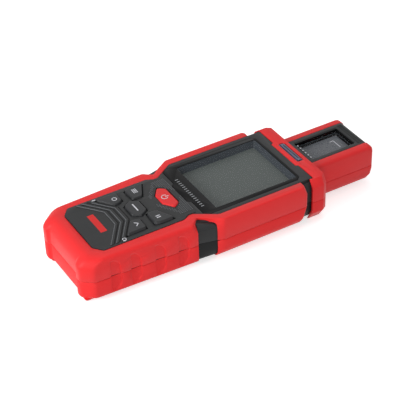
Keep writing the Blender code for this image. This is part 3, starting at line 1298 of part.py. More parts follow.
def build():
    """Build every piece."""
    clear_scene()
    looks = {
        "black": material("black_abs", (0.035, 0.036, 0.038), 0.55),
        "red": material("red_rubber", (0.72, 0.035, 0.035), 0.6),
        "glass": material("clear_lens", (0.30, 0.32, 0.33), 0.08, alpha=0.35),
        "lcd": material("lcd_glass", (0.115, 0.13, 0.125), 0.35),
        "dark": material("dark_plastic", (0.055, 0.06, 0.065), 0.5),
        "white": material("white_plastic", (0.75, 0.75, 0.75), 0.5),
        "key": material("key_rubber", (0.05, 0.052, 0.055), 0.6),
        "power": material("power_key_rubber", (0.66, 0.04, 0.04), 0.5),
        "board": material("circuit_board", (0.02, 0.16, 0.07), 0.5),
        "steel": material("plated_steel", (0.55, 0.55, 0.55), 0.3, metallic=1.0),
        "silicon": material("silicon_cell", (0.03, 0.035, 0.06), 0.3),
        "lamp": material("smoked_diffuser", (0.17, 0.19, 0.26), 0.35),
        "ribbon": material("ribbon_cable", (0.5, 0.5, 0.48), 0.6),
        "battery": material("battery_sleeve", (0.35, 0.30, 0.06), 0.4, metallic=0.3),
    }
    finish(front_shell(), "front_shell", looks["black"], 30)
    finish(front_overmould(), "front_overmould", looks["red"], 30)
    finish(rear_shell(), "rear_shell", looks["black"], 30)
    rear_overmould(looks)
    finish(sensor_front_shell(), "sensor_front_shell", looks["red"], 30)
    finish(sensor_rear_shell(), "sensor_rear_shell", looks["red"], 30)
    finish(sensor_frame(), "sensor_frame", looks["black"], 30)
    for name, outline in key_outlines().items():
        if name == "power_key":
            finish(key_cap(outline, POWER_KEY_LIFT), name, looks["power"])
        else:
            finish(key_cap(outline, KEY_LIFT), name, looks["key"])
    display(looks)
    boards(looks)
    light_bar(looks)
    sensor_stack(looks)
    batteries(looks)
    battery_door(looks)
    screws("case_screw", case_screw_places(), BASE_Z + SCREW_SEAT, PARTING_Z + SCREW_GRIP, looks["steel"])


build()
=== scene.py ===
"""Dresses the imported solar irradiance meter: soft red skins, keys, display, marks, finishes and light."""
import math

import bmesh
import bpy
from mathutils import Matrix, Vector


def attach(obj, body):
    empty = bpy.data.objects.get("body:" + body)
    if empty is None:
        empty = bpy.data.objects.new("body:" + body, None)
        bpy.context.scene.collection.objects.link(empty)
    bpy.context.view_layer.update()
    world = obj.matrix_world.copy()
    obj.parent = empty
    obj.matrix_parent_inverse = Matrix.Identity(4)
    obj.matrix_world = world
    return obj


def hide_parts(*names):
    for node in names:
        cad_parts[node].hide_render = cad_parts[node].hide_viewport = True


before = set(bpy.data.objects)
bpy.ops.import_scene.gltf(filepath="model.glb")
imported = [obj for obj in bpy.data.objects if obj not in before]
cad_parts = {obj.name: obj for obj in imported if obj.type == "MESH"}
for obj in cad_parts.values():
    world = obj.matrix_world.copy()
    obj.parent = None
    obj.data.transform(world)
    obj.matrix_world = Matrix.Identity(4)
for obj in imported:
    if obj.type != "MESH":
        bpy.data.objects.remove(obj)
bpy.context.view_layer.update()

MM = 0.001
GAP = 0.3 * MM

# Stations along the meter and levels, as the solids have them
END_Y = -113.9 * MM
WAIST_Y = -33.4 * MM
HEAD_Y = -20.1 * MM
BAND_Y = 49.1 * MM
COLLAR_Y = 56.7 * MM
BASE_Z = 1.5 * MM
PARTING_Z = 16.3 * MM
TOP_Z = 33.5 * MM
SHOULDER_Z = 31.6 * MM
BACK_SHOULDER_Z = 3.4 * MM
EAR_TOP_Z = 30.1 * MM

# Widths and edges of the skin
END_HALF = 32.2 * MM
GRIP_HALF = 35.4 * MM
HEAD_HALF = 39.0 * MM
BAND_HALF = 35.8 * MM
NOTCH_HALF = 28.3 * MM
STRAP_HALF = 33.5 * MM
SKIN = 1.6 * MM
NOTCH_DROP = 7.1 * MM
NOTCH_LIP = 2.3 * MM
TOP_EDGE = 3.0 * MM
HEAD_TOP_EDGE = 1.2 * MM
END_TOP_EDGE = 8.0 * MM
BOTTOM_EDGE = 4.0 * MM
HEAD_BOTTOM_EDGE = 8.0 * MM
END_BOTTOM_EDGE = 3.0 * MM
CORNER_FACET_X = 6.2 * MM
CORNER_FACET_Y = 7.5 * MM
FOOT_INSIDE = 18.8 * MM
FOOT_WIDTH = 10.0 * MM
FOOT_LENGTH = 8.5 * MM
BUMPER_REACH = 2.0 * MM
CHEEK_TOP_SLANT = 2.6 * MM
CHEEK_LOW_SLANT = 4.4 * MM
COLLAR_CHAMFER_Z = 5.5 * MM
BAND_LOW_CHAMFER = 4.0 * MM

# Finger grooves: deeper than in the solids, and more so at the far end, so that they show
GROOVE_STARTS = [17.0 * MM, 31.3 * MM, 48.8 * MM, 65.4 * MM]
GROOVE_LENGTH = 7.4 * MM
GROOVE_DEPTH = 1.15 * MM
GROOVE_FAR_SHARE = 0.75
GROOVE_ARCH_FALL = 0.75
GROOVE_TOP = 12.5 * MM
GROOVE_LOW = 11.3 * MM
SIDE_POINTS = 300

# Keypad deck
PANEL_HALF = 26.0 * MM
PANEL_WAIST_HALF = 23.4 * MM
PANEL_STRAP_HALF = 26.7 * MM
PANEL_HEAD_HALF = 33.0 * MM
PANEL_START = 11.4 * MM
BACK_HEAD_HALF = 28.0 * MM
DECK_STEP = 0.3 * MM
DECK_CROWN = 1.0 * MM
KEY_SLOPE = 0.7 * MM
KEY_SLOPE_LIFT = 0.75 * MM
POWER_SLOPE_LIFT = 0.9 * MM
KEY_TOP = 36.1 * MM
POWER_TOP = 35.3 * MM
INK_DEPTH = 0.4 * MM

# Chevrons on the deck
CHEVRON_LOW_Y = END_Y + 22.4 * MM
CHEVRON_COUNT = 3
CHEVRON_PITCH = 4.0 * MM
CHEVRON_REACH = 24.2 * MM
CHEVRON_FLAT = 7.5 * MM
CHEVRON_RISE = 12.0 * MM
CHEVRON_WIDTH = 1.95 * MM
# Width and reach of the painted shade strips beside the chevrons
SHADE_STRIP_WIDTH = 1.1 * MM
SHADE_STRIP_SHORT_REACH = 21.4 * MM

# Display and sensor window
WINDOW_HALF = 25.6 * MM
WINDOW_START = -14.2 * MM
WINDOW_END = 47.6 * MM
WINDOW_CORNER = 1.2 * MM
GASKET_LOW_Z = 28.95 * MM
GLASS_TOP_Z = 29.0 * MM
GLASS_MIDDLE_Y = 88.9 * MM


# Helpers


def mix(low, high, share):
    """A value between two others."""
    return low + (high - low) * share


def smooth_step(low, high, value):
    """0 below low and 1 above high, with a soft change between them."""
    share = min(max((value - low) / (high - low), 0.0), 1.0)
    return share * share * (3 - 2 * share)


def linear(hex_colour):
    """An sRGB hex colour as linear RGBA."""
    channels = [int(hex_colour[i:i + 2], 16) / 255 for i in (1, 3, 5)]
    return (*[c / 12.92 if c <= 0.04045 else ((c + 0.055) / 1.055) ** 2.4 for c in channels], 1.0)


def add(tree, kind, settings=None, sockets=None):
    """A node of any kind with its settings, and its sockets set or linked."""
    made = tree.nodes.new(kind)
    for name, value in (settings or {}).items():
        setattr(made, name, value)
    for key, value in (sockets or {}).items():
        if isinstance(value, bpy.types.NodeSocket):
            tree.links.new(value, made.inputs[key])
        else:
            made.inputs[key].default_value = value
    return made


def fillet(corners, steps=5):
    """An outline with round corners, from (x, y, radius, points along the next side)."""
    outline = []
    for i, (x, y, radius, fill) in enumerate(corners):
        here = Vector((x, y))
        before = Vector(corners[i - 1][:2])
        after = Vector(corners[(i + 1) % len(corners)][:2])
        reach = min(radius, (before - here).length * 0.45, (after - here).length * 0.45)
        start = here + (before - here).normalized() * reach
        end = here + (after - here).normalized() * reach
        for k in range(steps + 1):
            share = k / steps
            outline.append(start.lerp(here, share).lerp(here.lerp(end, share), share))
        nxt = corners[(i + 1) % len(corners)]
        beyond = Vector(corners[(i + 2) % len(corners)][:2])
        next_reach = min(nxt[2], (here - after).length * 0.45, (beyond - after).length * 0.45)
        side_end = after + (here - after).normalized() * next_reach
        for k in range(1, fill + 1):
            outline.append(end.lerp(side_end, k / (fill + 1)))
    return [(p.x, p.y) for p in outline]


def mirrored(half_corners):
    """A whole list of corners from its right half, which starts and ends on the middle line."""
    left = []
    for i in range(len(half_corners) - 1, -1, -1):
        x, y, radius, fill = half_corners[i]
        if x > 0:
            left.append((-x, y, radius, half_corners[i - 1][3]))
    return list(half_corners) + left


def grown(outline, distance):
    """An outline grown outwards by a distance, with mitred corners."""
    made = []
    count = len(outline)
    for i in range(count):
        here = Vector(outline[i])
        before = (here - Vector(outline[i - 1])).normalized()
        after = (Vector(outline[(i + 1) % count]) - here).normalized()
        normal = Vector((before.y + after.y, -before.x - after.x))
        if normal.length_squared < 1e-9:
            normal = Vector((before.y, -before.x)) * 2
        made.append(tuple(here + normal * (2 * distance / normal.length_squared)))
    return made


def loft(levels):
    """A closed bmesh through outlines of equal length: levels is a list of (z, outline)."""
    bm = bmesh.new()
    rows = [[bm.verts.new((x, y, z)) for x, y in outline] for z, outline in levels]
    for low, high in zip(rows, rows[1:]):
        for i in range(len(low)):
            j = (i + 1) % len(low)
            bm.faces.new((low[i], low[j], high[j], high[i]))
    bm.faces.new(reversed(rows[0]))
    bm.faces.new(rows[-1])
    bm.normal_update()
    return bm


def prism(outline, z0, z1):
    """An outline extruded between two levels."""
    return loft([(z0, outline), (z1, outline)])


def box(x0, x1, y0, y1, z0, z1):
    """A box as a bmesh."""
    return prism([(x0, y0), (x1, y0), (x1, y1), (x0, y1)], z0, z1)


def solid(bm, name="solid"):
    """A bmesh as an object."""
    bmesh.ops.recalc_face_normals(bm, faces=bm.faces)
    mesh = bpy.data.meshes.new(name)
    bm.to_mesh(mesh)
    bm.free()
    made = bpy.data.objects.new(name, mesh)
    bpy.context.scene.collection.objects.link(made)
    return made


def baked(obj):
    """Replace an object's mesh with what its modifiers make of it, and take them off."""
    graph = bpy.context.evaluated_depsgraph_get()
    graph.update()
    obj.data = bpy.data.meshes.new_from_object(obj.evaluated_get(graph))
    obj.modifiers.clear()
    return obj


def combined(target, tool, operation):
    """Apply an exact Boolean and use up the tool."""
    step = target.modifiers.new(operation.lower(), "BOOLEAN")
    step.operation = operation
    step.solver = "EXACT"
    step.object = tool
    baked(target)
    bpy.data.objects.remove(tool, do_unlink=True)
    return target


def cut(target, *tools):
    """Cut bmeshes out of an object."""
    for tool in tools:
        combined(target, solid(tool), "DIFFERENCE")
    return target


def softened(obj, width, angle=32.0, segments=2):
    """Round an object's edges over."""
    bm = bmesh.new()
    bm.from_mesh(obj.data)
    bmesh.ops.remove_doubles(bm, verts=bm.verts, dist=0.002 * MM)
    bmesh.ops.dissolve_limit(bm, angle_limit=math.radians(0.6), verts=bm.verts, edges=bm.edges)
    bm.to_mesh(obj.data)
    bm.free()
    step = obj.modifiers.new("edges", "BEVEL")
    step.limit_method = "ANGLE"
    step.angle_limit = math.radians(angle)
    step.width = width
    step.segments = segments
    step.use_clamp_overlap = True
    return baked(obj)


def placed(obj, name, look, body="housing", stands_for=(), smooth=35.0):
    """Name a finished piece, give it its finish and hand it to the frame."""
    obj.name = name
    obj.data.name = name
    obj.data.materials.clear()
    obj.data.materials.append(look)
    obj.data.shade_smooth()
    obj.data.set_sharp_from_angle(angle=math.radians(smooth))
    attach(obj, body)
    if stands_for:
        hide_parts(*stands_for)
    return obj


def copied(node):
    """A free copy of a node's solid."""
    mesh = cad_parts[node].data.copy()
    made = bpy.data.objects.new(node + "_copy", mesh)
    bpy.context.scene.collection.objects.link(made)
    return made


# Finishes


def moulded(name, colour, deep, roughness, grain, depth, coat=0.0, level=0.5, sheen=0.0):
    """A moulded plastic or rubber: clouded colour, spark-eroded grain and uneven gloss."""
    made = bpy.data.materials.new(name)
    made.use_nodes = True
    tree = made.node_tree
    shader = tree.nodes["Principled BSDF"]
    shader.inputs["IOR"].default_value = 1.5
    shader.inputs["Specular IOR Level"].default_value = level
    shader.inputs["Coat Weight"].default_value = coat
    shader.inputs["Sheen Weight"].default_value = sheen
    shader.inputs["Sheen Roughness"].default_value = 0.4
    spot = add(tree, "ShaderNodeTexCoord").outputs["Object"]
    cloud = add(tree, "ShaderNodeTexNoise", {}, {"Vector": spot, "Scale": 1 / (14 * MM), "Detail": 4.0})
    tone = add(tree, "ShaderNodeMix", {"data_type": "RGBA"},
               {0: cloud.outputs[0], 6: linear(deep), 7: linear(colour)})
    tree.links.new(tone.outputs[2], shader.inputs["Base Color"])
    fine = add(tree, "ShaderNodeTexNoise", {}, {"Vector": spot, "Scale": 1 / grain, "Detail": 2.0,
                                               "Roughness": 0.6})
    gloss = add(tree, "ShaderNodeMapRange", {}, {0: fine.outputs[0], 1: 0.3, 2: 0.7, 3: roughness - 0.05,
                                                4: roughness + 0.06})
    tree.links.new(gloss.outputs[0], shader.inputs["Roughness"])
    bump = add(tree, "ShaderNodeBump", {}, {"Strength": 0.5, "Distance": depth, "Height": fine.outputs[0]})
    tree.links.new(bump.outputs[0], shader.inputs["Normal"])
    return made


def metal(name, colour, roughness, streak):
    """A plated or drawn metal with fine streaks along Y."""
    made = bpy.data.materials.new(name)
    made.use_nodes = True
    tree = made.node_tree
    shader = tree.nodes["Principled BSDF"]
    shader.inputs["Metallic"].default_value = 1.0
    spot = add(tree, "ShaderNodeTexCoord").outputs["Object"]
    turned = add(tree, "ShaderNodeMapping", {}, {"Vector": spot, "Scale": (1.0, 0.06, 1.0)})
    lines = add(tree, "ShaderNodeTexNoise", {},
                {"Vector": turned.outputs[0], "Scale": 1 / streak, "Detail": 3.0})
    tone = add(tree, "ShaderNodeMix", {"data_type": "RGBA"},
               {0: lines.outputs[0], 6: linear("#8C8C8A"), 7: linear(colour)})
    tree.links.new(tone.outputs[2], shader.inputs["Base Color"])
    gloss = add(tree, "ShaderNodeMapRange", {}, {0: lines.outputs[0], 1: 0.3, 2: 0.7, 3: roughness - 0.08,
                                                4: roughness + 0.1})
    tree.links.new(gloss.outputs[0], shader.inputs["Roughness"])
    return made


# Thermoplastic elastomer over the grip: satin grain, saturated red, weak broad highlights
rubber_red = moulded("tpe_satin_red", "#E4282A", "#DC2426", 0.50, 0.35 * MM, 0.03 * MM, level=0.25,
                      sheen=0.12)
# ABS with a soft-touch coat on the sensor head: the same red, a little smoother
abs_red = moulded("abs_soft_touch_red", "#DF282A", "#D72427", 0.46, 0.30 * MM, 0.02 * MM, level=0.25)
# ABS moulded against a spark-eroded tool: nearly black, dry sheen and a fine even grain
abs_black = moulded("abs_spark_eroded_black", "#232425", "#1D1E1F", 0.50, 0.40 * MM, 0.04 * MM, level=0.3)
# The black band, neck and back: the same ABS painted darker, as painted shade on these less lit parts
abs_painted_shade_black = moulded("abs_black_painted_shade", "#161718", "#121313", 0.46, 0.40 * MM, 0.03 * MM, level=0.2)
# Painted shade beside the chevrons: the same ABS painted darker, as little light gets in beside each crest
abs_painted_channel_shade = moulded("abs_black_channel_painted_shade", "#101011", "#0D0D0E", 0.6, 0.40 * MM, 0.02 * MM, level=0.2)
# Crests of the hatch and the chevrons: the same ABS, painted paler as a highlight where light catches them
abs_painted_highlight = moulded("abs_crest_painted_highlight", "#5A5C5F", "#525457", 0.4, 0.40 * MM, 0.01 * MM, level=0.4)
# The sensor frame: the same ABS with a fine sheen
abs_frame = moulded("abs_frame_black", "#202122", "#1A1B1C", 0.44, 0.35 * MM, 0.02 * MM, level=0.3)
# Silicone keys: matt black-grey with a slightly greasy sheen
silicone_black = moulded("silicone_key_black", "#2A2B2D", "#242527", 0.42, 0.25 * MM, 0.02 * MM, level=0.3)
# Silicone power key, dyed through
silicone_red = moulded("silicone_key_red", "#DC2629", "#D42225", 0.42, 0.25 * MM, 0.02 * MM, level=0.3)
# Screen ink on keys and deck: dense white, slightly raised
ink_white = moulded("screen_ink_white", "#D6D6DC", "#CACAD0", 0.45, 0.20 * MM, 0.01 * MM, level=0.3)
# Screen ink on the bezel, thin grey
ink_grey = moulded("screen_ink_grey", "#8D8F92", "#808286", 0.45, 0.20 * MM, 0.01 * MM, level=0.3)
# Red field printed on the deck
ink_red = moulded("screen_ink_red", "#D2211F", "#C81D1D", 0.40, 0.20 * MM, 0.01 * MM, level=0.25)
# Dark ABS of the display's frame
abs_slate = moulded("abs_display_frame", "#3A3F45", "#353A3F", 0.55, 0.30 * MM, 0.02 * MM, level=0.2)
# Reflective polariser over liquid crystal: grey-green, faintly glossy
lcd_look = moulded("lcd_polariser", "#525856", "#4F5553", 0.35, 2.50 * MM, 0.002 * MM, level=0.3)
# White diffusing acrylic behind the display
acrylic_white = moulded("acrylic_diffuser_white", "#E4E4E0", "#D8D8D4", 0.5, 0.4 * MM, 0.01 * MM)
# Smoked polycarbonate of the light bar
diffuser = moulded("polycarbonate_smoked", "#5B6076", "#53586C", 0.30, 0.5 * MM, 0.01 * MM, level=0.3)
# Paler moulded rim round the light bar
bar_rim = moulded("polycarbonate_rim", "#8C90A2", "#82869A", 0.35, 0.5 * MM, 0.01 * MM, level=0.3)
# Anti-reflective monocrystalline silicon
silicon = moulded("silicon_blue_black", "#63666B", "#5E6166", 0.30, 1.8 * MM, 0.003 * MM, level=0.3)
# Glass-fibre laminate under green solder mask
solder_mask = moulded("solder_mask_green", "#14642F", "#0F5527", 0.32, 1.2 * MM, 0.03 * MM, coat=0.3)
# Epoxy moulding compound of the chip and buzzer
epoxy = moulded("epoxy_black", "#26272A", "#202124", 0.6, 0.25 * MM, 0.02 * MM)
# Flat cable: tinned copper under polyester film
film = moulded("polyester_flat_cable", "#C9C9C2", "#BDBDB6", 0.4, 0.6 * MM, 0.02 * MM)
# Printed sleeve on an alkaline cell
sleeve = moulded("battery_sleeve_ochre", "#8C7A2E", "#2A2A28", 0.35, 6.0 * MM, 0.005 * MM, coat=0.3)
# Nickel-plated steel of screws, contacts and switch cases
nickel = metal("nickel_plated_steel", "#C9C8C4", 0.32, 0.12 * MM)


def clear_pane(name, tint, share, index):
    """A thin clear pane: its alpha is the share of tint, and nothing in it bends light, which left grain."""
    made = bpy.data.materials.new(name)
    made.use_nodes = True
    tree = made.node_tree
    shader = tree.nodes["Principled BSDF"]
    shader.inputs["IOR"].default_value = index
    shader.inputs["Alpha"].default_value = share
    spot = add(tree, "ShaderNodeTexCoord").outputs["Object"]
    haze = add(tree, "ShaderNodeTexNoise", {}, {"Vector": spot, "Scale": 1 / (9 * MM), "Detail": 3.0})
    gloss = add(tree, "ShaderNodeMapRange", {}, {0: haze.outputs[0], 1: 0.3, 2: 0.7, 3: 0.01, 4: 0.03})
    tree.links.new(gloss.outputs[0], shader.inputs["Roughness"])
    tone = add(tree, "ShaderNodeMix", {"data_type": "RGBA"},
               {0: haze.outputs[0], 6: linear(tint), 7: linear("#3C4244")})
    tree.links.new(tone.outputs[2], shader.inputs["Base Color"])
    return made


# Cast acrylic lens: clear and polished, its gloss uneven by a trace
acrylic_clear = clear_pane("acrylic_clear", "#343A3C", 0.03, 1.49)
# Toughened glass over the sensor: clear, with a harder gloss
glass_clear = clear_pane("glass_toughened", "#34383C", 0.03, 1.52)
# Gloss black print on the back of the lens
print_black = moulded("lens_print_black", "#0E0E0F", "#0B0B0C", 0.22, 0.8 * MM, 0.001 * MM, level=0.1)


# Red skins


def edge_inset(z, edge_z, radius):
    """How far a rounded edge has drawn in at a height."""
    depth = min(abs(edge_z - z), radius)
    return radius - math.sqrt(radius ** 2 - (radius - depth) ** 2)


def grip_half(y):
    """The grip's half-width."""
    return mix(END_HALF, GRIP_HALF, (y - END_Y) / (WAIST_Y - END_Y))


def groove_depth(y, z):
    """How deep the finger grooves are at a place on the side: steep at the lower edge, an arch on top."""
    deepest = 0.0
    for start in GROOVE_STARTS:
        share = (y - END_Y - start) / GROOVE_LENGTH
        if -0.2 < share < 1.1:
            arch = math.sqrt(max(1 - max(share, 0.0) ** 3 * GROOVE_ARCH_FALL, 0.0))
            top = PARTING_Z + GROOVE_TOP * arch
            low = PARTING_Z - GROOVE_LOW * arch
            along = smooth_step(-0.02, 0.06, share) * (1 - smooth_step(0.95, 1.02, share))
            up = smooth_step(low - 1.0 * MM, low + 1.4 * MM, z)
            down = 1 - smooth_step(top - 1.0 * MM, top + 0.6 * MM, z)
            deepest = max(deepest, along * up * down * mix(1.0, GROOVE_FAR_SHARE, max(share, 0.0)))
    return GROOVE_DEPTH * deepest


def blend_share(z):
    """How far the notch above the waist has opened at a height."""
    return min(max((z - TOP_Z + NOTCH_DROP) / (NOTCH_DROP - NOTCH_LIP), 0.0), 1.0)


def cheek_end(z):
    """Where the cheeks end at a height."""
    top_share = max((z - TOP_Z + NOTCH_DROP) / NOTCH_DROP, 0.0)
    low_share = max((PARTING_Z - z) / (PARTING_Z - BASE_Z), 0.0)
    return BAND_Y - top_share * CHEEK_TOP_SLANT - low_share * CHEEK_LOW_SLANT


def skin_outline(z):
    """The red skin's outline at a height, with soft corners and the finger grooves pressed in."""
    front = z > PARTING_Z
    edge_z = TOP_Z if front else BASE_Z
    side = edge_inset(z, edge_z, TOP_EDGE if front else BOTTOM_EDGE)
    head = edge_inset(z, edge_z, HEAD_TOP_EDGE if front else HEAD_BOTTOM_EDGE)
    end = edge_inset(z, edge_z, END_TOP_EDGE if front else END_BOTTOM_EDGE)
    reach = BUMPER_REACH * smooth_step(0.0, NOTCH_DROP, edge_z - z) if front else BUMPER_REACH
    share = blend_share(z)
    y = END_Y + end
    facet_y = y - reach + CORNER_FACET_Y
    corner_y = WAIST_Y - mix(2.2, 3.5, share) * MM
    corners = mirrored([
        (0, y, 0.1 * MM, 8),
        (FOOT_INSIDE, y, 1.2 * MM, 0),
        (FOOT_INSIDE + BUMPER_REACH, y - reach, 1.2 * MM, 2),
        (grip_half(y) - side - CORNER_FACET_X, y - reach + 0.01 * MM, 2.2 * MM, 4),
        (grip_half(facet_y) - side, facet_y, 2.2 * MM, SIDE_POINTS),
        (grip_half(corner_y) - side, corner_y, 1.6 * MM, 2),
        (mix(GRIP_HALF - side, NOTCH_HALF, share), WAIST_Y + 2.2 * MM, 1.5 * MM, 4),
        (mix(GRIP_HALF - side + 1.0 * MM, STRAP_HALF, share), HEAD_Y - 4.0 * MM, 1.5 * MM, 3),
        (HEAD_HALF - head, HEAD_Y + 3.7 * MM, 1.5 * MM, 30),
        (HEAD_HALF - head, cheek_end(z) - 1.5 * MM, 1.2 * MM, 0),
        (HEAD_HALF - head - 1.2 * MM, cheek_end(z), 0.8 * MM, 3),
        (0, cheek_end(z), 0.1 * MM, 3),
    ])
    outline = []
    for x, y in fillet(corners):
        sunk = groove_depth(y, z) if abs(x) > grip_half(y) - side - 0.6 * MM and y < WAIST_Y else 0.0
        outline.append((x - math.copysign(sunk, x), y))
    return outline


def band_half(z):
    """The black housing's half-width at the band."""
    top_share = max((z - (TOP_Z - COLLAR_CHAMFER_Z)) / COLLAR_CHAMFER_Z, 0.0)
    low_share = max((HEAD_BOTTOM_EDGE + BASE_Z - z) / HEAD_BOTTOM_EDGE, 0.0)
    return BAND_HALF - top_share * (BAND_HALF - PANEL_HEAD_HALF) - low_share * BAND_LOW_CHAMFER


def core_outline(z):
    """The black housing's outline, over which the skin was moulded."""
    front = z > PARTING_Z
    edge_z = TOP_Z if front else BASE_Z
    side = edge_inset(z, edge_z, TOP_EDGE if front else BOTTOM_EDGE)
    end = edge_inset(z, edge_z, END_TOP_EDGE if front else END_BOTTOM_EDGE)
    share = blend_share(z)
    low = 0.0 if front else edge_inset(z, BASE_Z, HEAD_BOTTOM_EDGE)
    y = END_Y + SKIN + end
    corner_y = WAIST_Y - 4.5 * MM
    half = [
        (0, y), (grip_half(y) - side - SKIN - CORNER_FACET_X, y),
        (grip_half(y + CORNER_FACET_Y) - side - SKIN, y + CORNER_FACET_Y),
        (grip_half(corner_y) - side - SKIN, corner_y),
        (mix(GRIP_HALF - side - 1.2 * MM, NOTCH_HALF + 0.2 * MM, share), WAIST_Y + 1.0 * MM),
        (mix(HEAD_HALF - 1.6 * MM - low, STRAP_HALF + 1.0 * MM, share), HEAD_Y + 0.5 * MM),
        (band_half(z), HEAD_Y + 3.0 * MM), (band_half(z), COLLAR_Y - GAP), (0, COLLAR_Y - GAP)]
    return half + [(-x, y) for x, y in reversed(half) if x > 0]


def panel_corners(start_y, head_half):
    """The black panel inside the skin's rim, with the radii of the rim's inner corners."""
    return mirrored([
        (0, start_y, 0.1 * MM, 0),
        (PANEL_HALF - 6.5 * MM, start_y, 1.4 * MM, 0),
        (PANEL_HALF, start_y + 5.3 * MM, 1.4 * MM, 0),
        (PANEL_HALF, WAIST_Y - 5.1 * MM, 2.0 * MM, 0),
        (PANEL_WAIST_HALF, WAIST_Y - 0.8 * MM, 1.2 * MM, 0),
        (PANEL_WAIST_HALF, WAIST_Y + 2.2 * MM, 1.2 * MM, 0),
        (PANEL_STRAP_HALF, HEAD_Y - 6.2 * MM, 1.5 * MM, 0),
        (head_half, HEAD_Y + 3.4 * MM, 1.5 * MM, 0),
        (head_half, COLLAR_Y, 0.1 * MM, 0),
        (0, COLLAR_Y, 0.1 * MM, 0),
    ])


def crosswise(profile, x0, x1):
    """A profile of (y, z) points extruded across the meter, as a bmesh."""
    bm = bmesh.new()
    near = [bm.verts.new((x0, y, z)) for y, z in profile]
    far = [bm.verts.new((x1, y, z)) for y, z in profile]
    for i in range(len(profile)):
        j = (i + 1) % len(profile)
        bm.faces.new((near[i], near[j], far[j], far[i]))
    bm.faces.new(reversed(near))
    bm.faces.new(far)
    return bm


def waist_opening(side):
    """The opening in the skin that bares the waist, whose top edge falls towards the head."""
    y0 = WAIST_Y - 0.8 * MM
    y1 = HEAD_Y - 0.8 * MM
    top = SHOULDER_Z + GAP
    radius = 2.2 * MM
    angles = [k * math.pi / 10 for k in range(5, -1, -1)]
    corner = [(y1 - radius * (1 - math.sin(a)), top - 1.3 * MM - radius * (1 - math.cos(a))) for a in angles]
    x0, x1 = sorted((side * 18.5 * MM, side * 59.0 * MM))
    return crosswise([(y0, -20 * MM), (y1, -20 * MM)] + corner + [(y0, top)], x0, x1)


def front_skin():
    """The red rubber of the front half."""
    levels = [PARTING_Z + 0.12 * MM, PARTING_Z + 0.45 * MM]
    z = PARTING_Z + 1.2 * MM
    while z < TOP_Z - 3.2 * MM:
        levels.append(z)
        z += 0.8 * MM
    levels += [TOP_Z - k * MM for k in (3.0, 2.5, 2.0, 1.6, 1.2, 0.9, 0.65, 0.45, 0.3, 0.17, 0.08, 0.02, 0.0)]
    rows = [(z, skin_outline(z)) for z in levels]
    rows[0] = (rows[0][0], grown(rows[0][1], -0.25 * MM))
    skin = solid(loft(rows))
    tool = [(PARTING_Z - MM, grown(core_outline(PARTING_Z + GAP / 2), GAP))]
    tool += [(TOP_Z - drop * MM, grown(core_outline(TOP_Z - drop * MM), GAP)) for drop in (7.1, 5.5, 4.2)]
    tool += [(SHOULDER_Z + GAP, grown(core_outline(SHOULDER_Z), GAP))]
    panel = fillet(panel_corners(END_Y + PANEL_START, PANEL_HEAD_HALF))
    cut(skin, loft(tool), prism(panel, SHOULDER_Z - MM, TOP_Z + MM), waist_opening(1), waist_opening(-1))
    softened(skin, 0.35 * MM, 50.0)
    placed(skin, "front_skin", rubber_red, stands_for=["front_overmould"], smooth=40)


def foot(side):
    """A foot at a lower corner, rounded off towards the table."""
    x0 = side * (FOOT_INSIDE + FOOT_WIDTH / 2)
    y0 = END_Y + FOOT_LENGTH / 2 - 0.5 * MM
    rows = []
    for z, grow in ((0.0, -1.8), (0.12, -1.45), (0.35, -1.15), (0.75, -0.9), (1.6, -0.4), (2.5, -0.2)):
        half_x = FOOT_WIDTH / 2 + grow * MM
        half_y = FOOT_LENGTH / 2 + grow * MM
        corners = [(x0 - half_x, y0 - half_y), (x0 + half_x, y0 - half_y), (x0 + half_x, y0 + half_y),
                   (x0 - half_x, y0 + half_y)]
        rows.append((z * MM, fillet([(x, y, 1.4 * MM, 1) for x, y in corners])))
    return loft(rows)


def rear_skin():
    """The red rubber of the rear half: grip and cheeks, parted at the waist."""
    rises = (0.0, 0.04, 0.12, 0.25, 0.45, 0.7, 1.0, 1.4, 1.9, 2.5, 3.2, 4.0, 4.9, 5.9, 6.9, 8.0, 9.0, 10.0,
             11.0, 12.0, 13.0, 13.9)
    levels = [BASE_Z + rise * MM for rise in rises]
    levels += [PARTING_Z - 0.45 * MM, PARTING_Z - 0.12 * MM]
    rows = [(z, skin_outline(z)) for z in levels]
    rows[-1] = (rows[-1][0], grown(rows[-1][1], -0.25 * MM))
    skin = solid(loft(rows))
    for side in (-1, 1):
        combined(skin, solid(foot(side)), "UNION")
    tool = [(BACK_SHOULDER_Z - GAP, grown(core_outline(BACK_SHOULDER_Z), GAP))]
    tool += [(BASE_Z + rise * MM, grown(core_outline(BASE_Z + rise * MM), GAP)) for rise in (3.4, 5.5, 8.0)]
    tool += [(PARTING_Z + MM, grown(core_outline(PARTING_Z - GAP / 2), GAP))]
    panel = fillet(panel_corners(END_Y + PANEL_START / 2, BACK_HEAD_HALF))
    end = box(-FOOT_INSIDE, FOOT_INSIDE, END_Y - 20 * MM, END_Y + PANEL_START, -MM, BASE_Z + 2.4 * MM)
    cut(skin, loft(tool), prism(panel, -MM, BACK_SHOULDER_Z + MM), waist_opening(1), waist_opening(-1), end)
    softened(skin, 0.3 * MM, 50.0)
    placed(skin, "rear_skin", rubber_red, smooth=40,
           stands_for=["rear_grip_overmould", "rear_left_cheek", "rear_right_cheek"])


front_skin()
rear_skin()


# Black housing and the red sensor head: the solids with their edges rounded over


def merged(node):
    """A free copy of a node's solid with its doubled points merged."""
    made = copied(node)
    bm = bmesh.new()
    bm.from_mesh(made.data)
    bmesh.ops.remove_doubles(bm, verts=bm.verts, dist=0.002 * MM)
    bm.to_mesh(made.data)
    bm.free()
    return made


def dressed(node, look, width, segments=2, body="housing", smooth=35.0):
    """A node's solid with rounded edges and its finish."""
    made = softened(merged(node), width, 30.0, segments)
    return placed(made, node + "_finished", look, body, [node], smooth)


